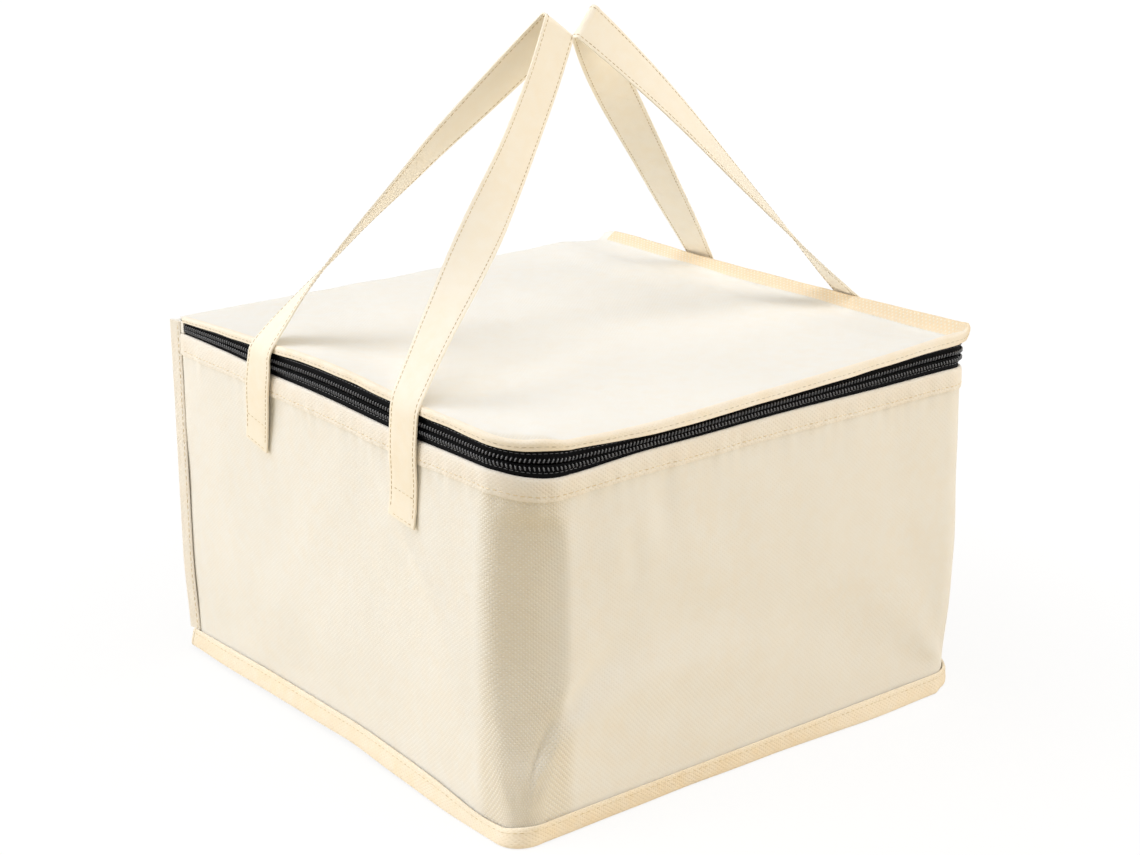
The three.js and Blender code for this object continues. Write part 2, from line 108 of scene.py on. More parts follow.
def dots(a, b):
    """Dot products, one a row."""
    return (a * b).sum(-1, keepdims=True)


def grid_of(*coordinates):
    """Coordinates of any fitting shapes as one grid of points."""
    return np.stack(np.broadcast_arrays(*coordinates), -1)


def lengths_along(path):
    """The length so far at each point of a path."""
    return np.concatenate([[0], np.cumsum(np.linalg.norm(np.diff(path, axis=0), axis=1))])


def read_along(places, length, values):
    """Three-part values, known at `length`, read at `places`."""
    return np.stack([np.interp(places, length, values[:, i]) for i in range(3)], -1)


CORNER_X = np.array([-1, -1, 1, 1, -1])
CORNER_Y = np.array([1, -1, -1, 1, 1])


def outline(q, out, radii, back_radius=0.0):
    """Plan of the bag: straight sides joined by quarter circles. A point is the corner circles' centre, which
    slides along a straight side, plus (radius + out) along the outward normal."""
    q, out, left, right = np.broadcast_arrays(np.asarray(q, float), out, *radii)
    k = np.clip(q.astype(int), 0, 7)
    f = q - k
    a = k // 2
    along = np.where(k % 2, 1.0, f)
    turn = np.where(k % 2, f, 0.0)
    r0 = np.select([a == 1, a == 2], [left, right], back_radius)
    r1 = np.select([a == 0, a == 1], [left, right], back_radius)
    x0, x1 = CORNER_X[a] * (HALF - r0), CORNER_X[a + 1] * (HALF - r1)
    y0, y1 = CORNER_Y[a] * (HALF - r0), CORNER_Y[a + 1] * (HALF - r1)
    angle = PI + PI / 2 * (a + turn)
    reach = r0 + (r1 - r0) * along + out
    normal = np.stack([np.cos(angle), np.sin(angle)], -1)
    point = np.stack([x0 + (x1 - x0) * along, y0 + (y1 - y0) * along], -1)
    return point + reach[..., None] * normal, normal


def corner_radii(z):
    """Radii of the left and right front corners at a height. The left one is tight at the base, 32 mm half way up
    and 28 mm at the zip. The right one is 17 mm half way up, opens to 21 mm at both ends, and is 12 mm on the
    lid."""
    left = 11 + 21 * smooth(z, -2, 88) - 4 * smooth(z, 120, WALL_TOP)
    right = 17 + 4.5 * (1 - smooth(z, 10, 85)) + 4 * smooth(z, 100, 180) - 9 * smooth(z, 184, TOP)
    return left, right


BASE_RADII = corner_radii(WALL_BOTTOM)


def tuck(away):
    """How far a wall turns in near the back corner, `away` from it: a quarter circle of BACK_RADIUS."""
    return BACK_RADIUS - np.sqrt(BACK_RADIUS ** 2 - np.clip(BACK_RADIUS - away, 0, BACK_RADIUS) ** 2)


def run_length(q):
    """The length round the bag at q, straight between the corners of RUNS."""
    return np.interp(q, np.arange(9), RUNS)


def at_length(s):
    """The q at a length round the bag."""
    return np.interp(s, RUNS[:6], np.arange(6))


def even_q(ends, count):
    """`count` places between two q, at even lengths."""
    return at_length(np.linspace(*run_length(ends), count))


# Heights that the soft top really takes round the bag, as (q, z): the wall's top edge, the lid's hem
# and the lid's edge
EDGE_Q = np.array([0, 0.07, 0.22, 0.29, 0.37, 0.46, 0.56, 0.66, 0.75, 0.84, 0.92, 1.0, 1.25, 1.5, 1.72, 1.85, 2.02,
        2.07, 2.16, 2.25, 2.35, 2.43, 2.52, 2.61, 2.71, 2.82, 2.9, 3.0, 3.3, 3.7, 4.0, 4.3, 4.7, 4.93, 5.0])
WALL_EDGE = np.array([184.1, 184.1, 183.6, 182.7, 181.6, 181.8, 181.4, 180.3, 179.5, 179.6, 179.8, 179.8, 179.5,
        178, 176.9, 176.6, 176.7, 177.3, 178.7, 178.8, 178.9, 179.4, 179.6, 179.6, 179.3, 179.1, 179.3,
        179.3, 178.6, 177, 176, 176, 176, 176, 176])
HEM_EDGE = np.array([190.6, 191.2, 193.1, 193.5, 193.9, 195.5, 195.7, 194.9, 193.6, 192.6, 192.3, 191.7, 191, 190.3,
        190.2, 189.8, 188.9, 187.8, 186.7, 186.6, 187.4, 188.2, 188.7, 189.3, 190.1, 191.4, 192.2, 192.4,
        192, 191, 190, 190, 190, 190, 190])
LID_EDGE = np.array([192.4, 193.8, 196.2, 196.9, 197.4, 198.9, 199.3, 198.6, 197.2, 195.9, 196.1, 195.8, 195, 194.4,
        194.8, 193.8, 192.4, 191.6, 190.8, 190.7, 191.5, 192.3, 192.8, 193.4, 194.2, 195.3, 196.4,
        197.4, 198.6, 199.2, 198.4, 196.6, 196, 197.6, 196.5])


def from_table(q, values, places=EDGE_Q, apart=0.035):
    """Reads a table round the bag, rounded off by averaging three readings a little apart."""
    return sum(np.interp(q + shift, places, values) for shift in (-apart, 0, apart)) / 3


def seam_sag(q):
    """How far the base seam sags: a bell 4.5 mm deep on the left side, 14 mm behind the front corner."""
    return 4.5 * bell(run_length(q), 258, 26)


def soft_height(q, z):
    """Moves a plain height to where the soft bag has it. The shift is nothing up to 120 mm, the wall edge's at
    177 mm, the hem's at 190 mm and the lid edge's from 196 mm up, and runs straight between those three. Low down
    the seam sags beside the left front corner."""
    wall = from_table(q, WALL_EDGE) - WALL_TOP
    hem = from_table(q, HEM_EDGE) - HEM_BOTTOM
    lid = from_table(q, LID_EDGE) - TOP
    over_zip = np.clip((z - WALL_TOP) / (HEM_BOTTOM - WALL_TOP), 0, 1)
    over_hem = np.clip((z - HEM_BOTTOM) / (TOP - HEM_BOTTOM), 0, 1)
    high = smooth(z, 120, WALL_TOP) * (wall + (hem - wall) * over_zip + (lid - hem) * over_hem)
    return z + high - seam_sag(q) * (1 - smooth(z, WALL_BOTTOM, 45))


def fold(s, z, s0, tilt, width, height, reach):
    """One soft crease that runs up from the base seam at s0: a bell across its line, which leans `tilt` degrees
    from the seam, times a rise near the seam and a fall beyond `reach`."""
    away = np.hypot(s - s0, z - WALL_BOTTOM)
    angle = np.degrees(np.arctan2(z - WALL_BOTTOM, s - s0))
    return height * bell(angle, tilt, width) * np.clip(away / 14, 0, 1) * bell(away, 0, reach)


def relief(q, z):
    """How far the wall cloth stands out of its plain outline: bowed sides, a flattened left front corner, creases
    that fan out of both lower front corners, a ridge with a hollow above it that curves out of the left one, a dip
    along the front, and soft unevenness, all fading out at the seams. The flat is a chord, turned a little to the
    front, 0.857 of the radius from the corner circle's centre (1.3 of it above and below, where it cuts nothing).
    What lies beyond the chord is cut off by a soft maximum (b + sqrt(b^2 + soft^2)) / 2, crisper to the front."""
    s = run_length(q)
    side = q - np.floor(q)
    rise = np.clip((z - WALL_BOTTOM) / (WALL_TOP - WALL_BOTTOM), 0, 1)
    bow = np.where(np.floor(q) % 2 == 0, np.sin(PI * side) ** 2, 0) * np.sin(PI * rise)
    amount = np.select([q < 1, q < 4], [-1.8, 0.6], 1.0) * bow
    chord = 1.3 - 0.443 * smooth(z, 8, 45) * (1 - smooth(z, 150, 176))
    beyond = 1 - chord / np.cos(PI / 2 * (side - 0.6))
    soft = 0.09 - 0.065 * smooth(side, 0.3, 0.7)
    facet = corner_radii(z)[0] * (beyond + np.sqrt(beyond ** 2 + soft ** 2)) / 2
    dip = 2.4 * smooth(z, 50, 110)
    amount -= np.where((q > 1) & (q < 2), facet + dip * smooth(side, 0.5, 1), 0)
    amount -= np.where(q >= 2, dip * bell(s, RUNS[2], 34), 0)
    for s0, strength, mirror in ((LEFT_CORNER, 0.5, 1), (RIGHT_CORNER, 0.6, -1)):
        t = (s - s0) * mirror + s0
        for tilt, width, height, reach in ((63, 11, -1.2, 95), (44, 11, 1.2, 120), (27, 9, -0.6, 90),
                (115, 10, -0.9, 75), (132, 10, 0.7, 90), (90, 12, 0.4, 60)):
            amount += strength * fold(t, z, s0, tilt, width, height, reach)
    crest = np.interp(s, [294, 300, 306, 314, 329, 341, 372, 418, 460], [8, 20, 35, 45, 56, 60, 62, 59.5, 58])
    wide = 7 + 7 * smooth(s, 300, 380)
    ridge = 1.5 * bell(z, crest, wide) - 1.4 * bell(z, crest + 1.9 * wide, 1.1 * wide)
    amount += ridge * smooth(s, 294, 306) * (1 - smooth(s, 390, 460))
    amount += 0.55 * waves(s, z, 95, 3) + 0.25 * waves(s, z, 38, 5)
    amount -= bell(s, 372, 7) * bell(z, 150, 16) + 0.8 * bell(s, 352, 6) * bell(z, 128, 18)
    amount += 0.9 * bell((s - 215) * 0.75 + (z - 128) * 0.66, 0, 5) * bell(s, 215, 34)
    amount *= smooth(z, WALL_BOTTOM, 24) * (1 - smooth(z, 160, WALL_TOP))
    pucker = 0.3 * waves(s, 0, 9, 8) * bell(z, 168, 10)
    return amount + pucker * (1 - smooth(q, 2.9, 3.3)) * (1 - smooth(z, 170, WALL_TOP))


def settle(p):
    """How the bag stands: low on the left, behind the front corner, its wall is drawn in by up to 4 mm and lifted
    by 2 mm, and low on the right its front corner is drawn in by 1.5 mm."""
    x, y, z = p[..., 0], p[..., 1], p[..., 2]
    low = 1 - smooth(z, 0, 60)
    left = np.clip(0.5 - x / 300, 0, 1)
    rear = smooth(y, -110, 0)
    shift_x = (4 * rear - 1.8 * smooth(y, 60, 150)) * left - 1.5 * (1 - left) * (1 - smooth(y, -150, 0))
    return np.stack([x + shift_x * low, y, z + 2 * rear * left ** 2 * low], -1)


def on_wall(q, z, out):
    """A point of the walls: the plan outline at that height, moved out by the relief, at its soft height."""
    q, z, out = np.broadcast_arrays(np.asarray(q, float), np.asarray(z, float), np.asarray(out, float))
    plan, normal = outline(q, out, corner_radii(z))
    plan = plan + (relief(q, z) - tuck(HALF - plan[..., 1]))[..., None] * normal
    return settle(np.concatenate([plan, soft_height(q, z)[..., None]], -1))


def rim_place(x, y, radii):
    """How far a point of the plan lies inside the rim of the front and sides, and the q of the rim nearest to it."""
    radius = np.where(x < 0, *radii)
    far_x, far_y = np.abs(x) - (HALF - radius), -y - (HALF - radius)
    over_x, over_y = np.maximum(far_x, 0), np.maximum(far_y, 0)
    inside = radius - np.minimum(np.maximum(far_x, far_y), 0) - np.hypot(over_x, over_y)
    turn = np.arctan2(over_x, over_y) / (PI / 2)
    side = (HALF - y) / (2 * HALF - radius)
    front = 2 + (x + HALF - radii[0]) / (2 * HALF - sum(radii))
    in_corner = (far_x > 0) & (far_y > 0)
    q = np.where(in_corner, np.where(x < 0, 2 - turn, 3 + turn),
            np.where(far_x > far_y, np.where(x < 0, side, 5 - side), front))
    return inside, np.clip(q, 0, 5)


def lid_height(x, y, lip=1.0):
    """Height of the lid cloth. Inside, a plane between four corner heights, with a sag, a ridge beside the right
    edge and unevenness. Near the rim it passes over to the edge height, by a bell of the distance from the rim that
    is up to 34 mm wide, and 6 mm at the right, where the hem stands up as a lip. `lip` is the share of such a rise
    that a layer below follows."""
    u, v = (x + HALF) / (2 * HALF), (y + HALF) / (2 * HALF)
    plane = (1 - u) * (1 - v) * 195.2 + u * (1 - v) * 193.6 + (1 - u) * v * 192.6 + u * v * 194.8
    plane -= 1.3 * np.sin(PI * np.clip(u, 0, 1)) * np.sin(PI * np.clip(v, 0, 1))
    plane += 0.5 * waves(x, y, 110, 21) + 0.2 * waves(x, y, 45, 22)
    slope = np.maximum(x - 104 - 0.03 * (y + HALF), 0)
    plane += 0.8 * bell(slope, 0, 9) * smooth(x, 85, 104) - 0.105 * slope
    inside, q = rim_place(x, y, LID_RADII)
    reach = 14 + 20 * smooth(np.abs(run_length(q) - LEFT_CORNER), 22, 110)
    reach += (5.5 - reach) * smooth(q, 2.7, 3.1)
    edge = from_table(q, LID_EDGE) - plane
    edge = np.where(edge > 0, lip * edge, edge)
    return plane + edge * bell(np.maximum(inside, 0), 0, reach)


def solid_between(top, bottom):
    """Closes two grids of the same size into one solid: both faces, and a strip of quads round the rim."""
    n, m = top.shape[:2]
    count = n * m
    i = (np.arange(n - 1)[:, None] * m + np.arange(m - 1)).ravel()
    faces = np.stack([i, i + m, i + m + 1, i + 1], -1)
    rim = np.concatenate([np.arange(m), np.arange(1, n) * m + m - 1,
            (n - 1) * m + np.arange(m - 2, -1, -1), np.arange(n - 2, 0, -1) * m])
    after = np.roll(rim, -1)
    edge = np.stack([rim, after, after + count, rim + count], -1)
    points = np.concatenate([top.reshape(-1, 3), bottom.reshape(-1, 3)])
    return points, np.concatenate([faces, faces[:, ::-1] + count, edge])


def tube_of(rings, closed_run):
    """Joins rings of points into a solid. A closed run meets its own start; an open one is capped by a fan."""
    n, m = rings.shape[:2]
    spans = n if closed_run else n - 1
    i = np.arange(spans)[:, None] * m
    j = np.arange(m)[None, :]
    a, b = i + j, i + (j + 1) % m
    faces = np.stack([a, b, (b + m) % (n * m), (a + m) % (n * m)], -1).reshape(-1, 4)
    points = rings.reshape(-1, 3)
    if closed_run:
        return points, faces
    middles = np.stack([rings[0].mean(0), rings[-1].mean(0)])
    k = np.arange(m)
    first = np.stack([np.full(m, n * m), (k + 1) % m, k, k], -1)
    last_ring = (n - 1) * m
    last = np.stack([np.full(m, n * m + 1), last_ring + k, last_ring + (k + 1) % m, last_ring + (k + 1) % m], -1)
    return np.concatenate([points, middles]), np.concatenate([faces, first, last])


def new_object(name, data):
    """A new object of the scene."""
    thing = bpy.data.objects.new(name, data)
    bpy.context.scene.collection.objects.link(thing)
    return thing


def make_piece(name, solid, material, uv=None, sharp=40):
    """Turns points in millimetres and quads, where a repeated last corner means a triangle, into a mesh whose
    faces look outwards: they are turned over where the sum of a . (b x c) over them, six times the volume, is
    negative. uv is (u, v) of the grid in millimetres. A second grid repeats it, and the middles of two caps take
    its first and last."""
    points, faces = solid
    a, b, c, d = (points[faces[:, i]] for i in range(4))
    if np.einsum("ij,ij->", a, np.cross(b, c) + np.cross(c, d)) < 0:
        faces = np.where((faces[:, 2] == faces[:, 3])[:, None], faces[:, [1, 0, 2, 2]], faces[:, ::-1])
    triangle = faces[:, 2] == faces[:, 3]
    mesh = bpy.data.meshes.new(name)
    mesh.from_pydata((points * MM).tolist(), [], faces[~triangle].tolist() + faces[triangle, :3].tolist())
    mesh.update()
    if uv is not None:
        pair = grid_of(*uv).reshape(-1, 2) * MM
        pair = np.concatenate([pair, pair if len(points) == 2 * len(pair) else pair[[0, -1]]])
        corner = np.zeros(len(mesh.loops), np.int32)
        mesh.loops.foreach_get("vertex_index", corner)
        mesh.uv_layers.new(name="cloth").data.foreach_set("uv", pair[corner].astype(np.float32).ravel())
    mesh.shade_smooth()
    if sharp:
        mesh.set_sharp_from_angle(angle=math.radians(sharp))
    mesh.materials.append(material)
    return new_object(name, mesh)


def wall_layer(name, material, q_ends, z_ends, outer, inner, steps=(430, 64)):
    """A layer of the walls between two outs, each a number or a function of z."""
    q = even_q(q_ends, steps[0])[:, None]
    z = np.linspace(*z_ends, steps[1])[None, :]
    top, bottom = (on_wall(q, z, side(z) if callable(side) else side) for side in (outer, inner))
    return make_piece(name, solid_between(top, bottom), material, (run_length(q), z))


STITCH_PITCH = 3.4
STITCH = (2.5, 0.38, 0.4)


def beads(path, normal, pitch=STITCH_PITCH, size=STITCH, lean=0.0):
    """Small rounded studs laid along a path, such as stitches or the turns of a zip's coil. Each is a ball of
    five rings of six points and two poles, stretched to size = (along, across, high) and turned by `lean`
    in the plane of the cloth."""
    length = lengths_along(path)
    places = np.arange(pitch / 2, length[-1] - pitch * 0.3, pitch)
    centre, up, along = (read_along(places, length, values) for values in (path, normal, np.gradient(path, axis=0)))
    along = unit(along)
    up = unit(up - along * dots(up, along))
    across = np.cross(up, along)
    along, across = (along * math.cos(lean) + across * math.sin(lean),
            across * math.cos(lean) - along * math.sin(lean))
    rise = np.array([-0.82, -0.45, 0, 0.45, 0.82])[:, None]
    wide = np.array([0.62, 0.95, 1, 0.95, 0.62])[:, None]
    around = np.arange(6) * PI / 3
    stud, faces = tube_of(grid_of(rise, wide * np.cos(around), wide * np.sin(around)), False)
    stud[-2:] = (-1, 0, 0), (1, 0, 0)
    points = centre[:, None] + np.einsum("kc,ncd->nkd", stud * np.array(size) / 2, np.stack([along, across, up], 1))
    faces = faces + np.arange(len(centre))[:, None, None] * len(stud)
    return points.reshape(-1, 3), faces.reshape(-1, 4)


def gather(solids):
    """Several solids as one set of points and faces."""
    starts = np.cumsum([0] + [len(points) for points, _ in solids])
    return (np.concatenate([points for points, _ in solids]),
            np.concatenate([faces + start for (_, faces), start in zip(solids, starts)]))


def on_body(piece, body, slot, *nodes):
    """Attaches a piece to the body it rides with and hides the CAD nodes it stands for. Its slot is not used."""
    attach(piece, body)
    if nodes:
        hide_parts(*nodes)


# ---- Materials ----


def linear(colour):
    """sRGB hex to linear: c / 12.92 for a channel up to 0.04045, and ((c + 0.055) / 1.055) ^ 2.4 above it."""
    channels = [int(colour[i:i + 2], 16) / 255 for i in (1, 3, 5)]
    return [c / 12.92 if c <= 0.04045 else ((c + 0.055) / 1.055) ** 2.4 for c in channels] + [1.0]


def add(tree, kind, inputs=(), out=0, **settings):
    """Adds a node with its settings. inputs, by name or in order, are values, hex colours or sockets to link from.
    Gives the output called for by out, or all of them for None."""
    node = tree.nodes.new("ShaderNode" + kind)
    for name, value in settings.items():
        setattr(node, name, value)
    for name, value in inputs.items() if isinstance(inputs, dict) else enumerate(inputs):
        if isinstance(value, bpy.types.NodeSocket):
            tree.links.new(value, node.inputs[name])
        else:
            node.inputs[name].default_value = linear(value) if isinstance(value, str) else value
    return node.outputs if out is None else node.outputs[out]


def start_material(name):
    """A new material, its emptied node tree and its Object coordinates."""
    material = bpy.data.materials.new(name)
    material.use_nodes = True
    tree = material.node_tree
    tree.nodes.clear()
    return material, tree, add(tree, "TexCoord", out="Object")


def finish_material(material, tone, bump, roughness, more=None, invert=False):
    """Adds the bump, the main shader and the output. bump is (height, its depth in millimetres, strength); more
    holds the shader's other inputs."""
    tree = material.node_tree
    height, depth, strength = bump
    normal = add(tree, "Bump", {"Height": height, "Distance": depth * MM, "Strength": strength}, invert=invert)
    inputs = {"Base Color": tone, "Normal": normal, "Roughness": roughness, **(more or {})}
    shader = add(tree, "BsdfPrincipled", inputs)
    add(tree, "OutputMaterial", {"Surface": shader}, None)
    return material


# The sockets of a Mix node that works on colours: the share of the upper colour, the two colours and the result
SHARE, UNDER, OVER, MIXED = 0, 6, 7, 2


def ripples(tree, way, period, wave):
    """The sine or cosine of 2 pi way / period, with the period in millimetres."""
    turn = add(tree, "Math", (way, 2 * PI / (period * MM)), operation="MULTIPLY")
    return add(tree, "Math", (turn,), operation=wave)


def bonded_cloth(name, colour, warm, pit, pit_depth, dotted=0.6, darkening=None):
    """Spun-bonded polypropylene, pressed between a smooth and a dotted hot roller. That gives staggered rows of
    small melted pits 1.7 mm apart that glint, a dry fibrous face between them, and faint clouds where fibres lie
    thicker. `dotted` is the share of the pits that folding and pressing have left. The last argument names a zone
    of painted shade, where all pits show and the fibres between them are painted darker: how much, to which
    colour, the way towards it (x, y), and where along that way it starts and is full."""
    material, tree, place = start_material(name)
    if darkening:
        darkened, shade_tone, way_x, way_y, start, full = darkening
        way = add(tree, "VectorMath", (place, (way_x, way_y, 0)), "Value", operation="DOT_PRODUCT")
        zone = add(tree, "MapRange", (way, start, full), interpolation_type="SMOOTHSTEP")
        dotted = add(tree, "Math", (zone, 1 - dotted, dotted), operation="MULTIPLY_ADD")
    u, v, _ = add(tree, "SeparateXYZ", (add(tree, "UVMap", uv_map="cloth"),), None)
    rows = add(tree, "Math", (ripples(tree, u, 2.6, "COSINE"), ripples(tree, v, 2.2, "COSINE")), operation="MULTIPLY")
    pits = add(tree, "MapRange", (rows, 0.1, 0.85, 0, dotted), interpolation_type="SMOOTHSTEP")
    fibres = add(tree, "TexNoise", {"Vector": place, "Scale": 1 / (0.45 * MM), "Detail": 4, "Roughness": 0.7})
    clouds = add(tree, "TexNoise", {"Vector": place, "Scale": 1 / (7 * MM), "Detail": 2, "Roughness": 0.6})
    patches = add(tree, "TexNoise", {"Vector": place, "Scale": 1 / (60 * MM), "Detail": 2, "Roughness": 0.6})
    share = add(tree, "MapRange", (clouds, 0.35, 0.7))
    tone = add(tree, "Mix", {SHARE: share, UNDER: colour, OVER: warm}, MIXED, data_type="RGBA")
    share = add(tree, "MapRange", (patches, 0.3, 0.7, 0, 0.5))
    tone = add(tree, "Mix", {SHARE: share, UNDER: tone, OVER: colour}, MIXED, data_type="RGBA")
    share = add(tree, "Math", (pits, 0.16), operation="MULTIPLY")
    tone = add(tree, "Mix", {SHARE: share, UNDER: tone, OVER: pit}, MIXED, data_type="RGBA")
    # Painted shade: inside the zone the fibres between the pits are darkened towards the zone's colour, so that the
    # pits stand out light.
    if darkening:
        between = add(tree, "Math", (pits, -darkened, darkened), operation="MULTIPLY_ADD")
        share = add(tree, "Math", (zone, between), operation="MULTIPLY")
        tone = add(tree, "Mix", {SHARE: share, UNDER: tone, OVER: shade_tone}, MIXED, data_type="RGBA")
    share = add(tree, "MapRange", (fibres, 0.3, 0.62, 0.16, 0))
    tone = add(tree, "Mix", {SHARE: share, UNDER: tone, OVER: pit}, MIXED, data_type="RGBA")
    raised = add(tree, "Math", (fibres, 0.3), operation="MULTIPLY")
    height = add(tree, "Math", (pits, -1, raised), operation="MULTIPLY_ADD")
    rough = add(tree, "Math", (pits, -0.4, 0.84), operation="MULTIPLY_ADD")
    return finish_material(material, tone, (height, pit_depth, 1), rough,
                           {"Specular IOR Level": 0.35, "Sheen Weight": 0.12, "Sheen Roughness": 0.5, "IOR": 1.49})


def twisted_thread(name, light, dark):
    """Polyester sewing thread, three plies twisted: slanting ridges 0.35 mm apart with a soft sheen."""
    material, tree, place = start_material(name)
    plies = add(tree, "TexWave", {"Vector": place, "Scale": 1 / (0.35 * MM * 20), "Distortion": 1.5}, 1,
                bands_direction="DIAGONAL")
    darkening = add(tree, "TexNoise", {"Vector": place, "Scale": 1 / (12 * MM), "Detail": 3, "Roughness": 0.6})
    tone = add(tree, "Mix", {SHARE: plies, UNDER: dark, OVER: light}, MIXED, data_type="RGBA")
    share = add(tree, "MapRange", (darkening, 0.4, 0.7, 0, 0.35))
    tone = add(tree, "Mix", {SHARE: share, UNDER: tone, OVER: dark}, MIXED, data_type="RGBA")
    return finish_material(material, tone, (plies, 0.06, 0.6), 0.62, {"Sheen Weight": 0.2})


def woven_tape(name):
    """Polyester zip tape: a herringbone twill of black yarn 0.5 mm apart, drawn at 0.9 mm so that it shows. It
    gives a matt black with fine grey ribs and a little lint."""
    material, tree, place = start_material(name)
    u, v, _ = add(tree, "SeparateXYZ", (add(tree, "UVMap", uv_map="cloth"),), None)
    slant = add(tree, "Math", (u, add(tree, "Math", (v, 2.2 * MM), operation="PINGPONG")), operation="ADD")
    ribs = add(tree, "MapRange", (ripples(tree, slant, 0.9, "SINE"), -1, 1))
    lint = add(tree, "TexNoise", {"Vector": place, "Scale": 1 / (1.6 * MM), "Detail": 4, "Roughness": 0.7})
    share = add(tree, "Math", (ribs, 0.6), operation="MULTIPLY")
    tone = add(tree, "Mix", {SHARE: share, UNDER: "#030304", OVER: "#0b0b0d"}, MIXED, data_type="RGBA")
    share = add(tree, "MapRange", (lint, 0.6, 0.8, 0, 0.2))
    tone = add(tree, "Mix", {SHARE: share, UNDER: tone, OVER: "#242427"}, MIXED, data_type="RGBA")
    return finish_material(material, tone, (ribs, 0.12, 0.8), 0.88, {"Specular IOR Level": 0.15})


def moulded_nylon(name):
    """Nylon monofilament wound into a coil: black, smooth and a little glossy, so each turn carries a grey highlight.
    In patches it is also painted a lighter grey, a painted highlight.
    """
    material, tree, place = start_material(name)
    mottle = add(tree, "TexNoise", {"Vector": place, "Scale": 1 / (3 * MM), "Detail": 4, "Roughness": 0.6})
    share = add(tree, "MapRange", (mottle, 0.35, 0.7))
    # Painted highlight: the lighter grey in patches stands in for the glint on the coil's turns.
    tone = add(tree, "Mix", {SHARE: share, UNDER: "#111113", OVER: "#46464c"}, MIXED, data_type="RGBA")
    rough = add(tree, "Math", (mottle, 0.2, 0.1), operation="MULTIPLY_ADD")
    return finish_material(material, tone, (mottle, 0.04, 0.5), rough, {"IOR": 1.53, "Specular IOR Level": 1})


def painted_zinc(name):
    """Die-cast zinc with a satin black enamel, scuffed through to dull metal on a few high spots."""
    material, tree, place = start_material(name)
    cast = add(tree, "TexNoise", {"Vector": place, "Scale": 1 / (0.4 * MM), "Detail": 3, "Roughness": 0.6})
    mottle = add(tree, "TexNoise", {"Vector": place, "Scale": 1 / (1.4 * MM), "Detail": 5, "Roughness": 0.6})
    bare = add(tree, "MapRange", (mottle, 0.66, 0.72))
    tone = add(tree, "Mix", {SHARE: bare, UNDER: "#141416", OVER: "#77777a"}, MIXED, data_type="RGBA")
    metal = add(tree, "Math", (bare, 0.8), operation="MULTIPLY")
    rough = add(tree, "Math", (cast, 0.2, 0.24), operation="MULTIPLY_ADD")
    return finish_material(material, tone, (cast, 0.03, 0.6), rough, {"Metallic": metal})


def foam_sheet(name):
    """Expanded polyethylene foam: closed cells about 0.8 mm wide that show as fine bright walls round pits."""
    material, tree, place = start_material(name)
    cells = add(tree, "TexVoronoi", {"Vector": place, "Scale": 1 / (0.8 * MM)})
    clouds = add(tree, "TexNoise", {"Vector": place, "Scale": 1 / (15 * MM), "Detail": 3, "Roughness": 0.6})
    tone = add(tree, "Mix", {SHARE: cells, UNDER: "#fbfbf8", OVER: "#e2e3e0"}, MIXED, data_type="RGBA")
    share = add(tree, "Math", (clouds, 0.3), operation="MULTIPLY")
    tone = add(tree, "Mix", {SHARE: share, UNDER: tone, OVER: "#eef0ea"}, MIXED, data_type="RGBA")
    return finish_material(material, tone, (cells, 0.2, 0.7), 0.75, invert=True)


def crinkled_foil(name):
    """Aluminium film laminated to the foam: bright, with soft dents about 9 mm wide and sharp creases where it
    was folded."""
    material, tree, place = start_material(name)
    dents = add(tree, "TexNoise", {"Vector": place, "Scale": 1 / (9 * MM), "Detail": 2, "Roughness": 0.6})
    facets = add(tree, "TexVoronoi", {"Vector": place, "Scale": 1 / (14 * MM), "Randomness": 1},
                 feature="DISTANCE_TO_EDGE")
    creases = add(tree, "MapRange", (facets, 0, 0.05, 1, 0))
    height = add(tree, "Math", (creases, 0.25, dents), operation="MULTIPLY_ADD")
    scuff = add(tree, "TexNoise", {"Vector": place, "Scale": 1 / (2.5 * MM), "Detail": 5, "Roughness": 0.6})
    tone = add(tree, "Mix", {SHARE: scuff, UNDER: "#c4c8cc", OVER: "#e2e4e6"}, MIXED, data_type="RGBA")
    rough = add(tree, "Math", (scuff, 0.2, 0.2), operation="MULTIPLY_ADD")
    return finish_material(material, tone, (height, 1.1, 0.8), rough, {"Metallic": 1})


# The ivory's darkened zone is painted shade on the flattened left front corner, which is turned away from both
# softboxes.
IVORY = bonded_cloth("ivory_spunbond_polypropylene", "#f3f3f0", "#f3f0e9", "#efe5d2", 0.2,
        dotted=0.22, darkening=(0.4, "#dccfb2", -1.0, -1.0, 0.266, 0.276))
FACING = bonded_cloth("doubled_ivory_spunbond_polypropylene", "#f8f5ef", "#f7f0e6", "#eee0c4", 0.2)
# The hem's darkened zone is painted shade: a deeper peach along the lid's right edge, where the hem stands up as a
# lip.
HEM = bonded_cloth("hemmed_ivory_spunbond_polypropylene", "#fcf4e6", "#fbefda", "#ecdcba", 0.2,
        darkening=(0.85, "#f5deb8", 1.0, 0.0, 0.138, 0.146))
PEACH = bonded_cloth("peach_spunbond_polypropylene", "#fcf2e0", "#fbecd2", "#ead6ac", 0.2)
STRAP_CLOTH = bonded_cloth("peach_strap_polypropylene", "#fbf5e8", "#faf1df", "#f1e4c8", 0.01, dotted=0.1)
THREAD = twisted_thread("cream_polyester_thread", "#f6ebd2", "#d9c59c")
HEM_THREAD = twisted_thread("stone_polyester_thread", "#ebe4d4", "#c8bca2")
# The strap thread's golden colour is the thread darkened as painted shade: it stands for the shade in its stitch
# holes.
STRAP_THREAD = twisted_thread("polyester_thread_darkened_by_painted_shade", "#dcc89e", "#b29a68")
TAPE = woven_tape("black_woven_zip_tape")
COIL = moulded_nylon("black_nylon_coil")
METAL = painted_zinc("black_enamelled_zinc")
FOAM = foam_sheet("white_polyethylene_foam")
FOIL = crinkled_foil("crinkled_aluminium_foil")


# ---- Walls, base and lid ----


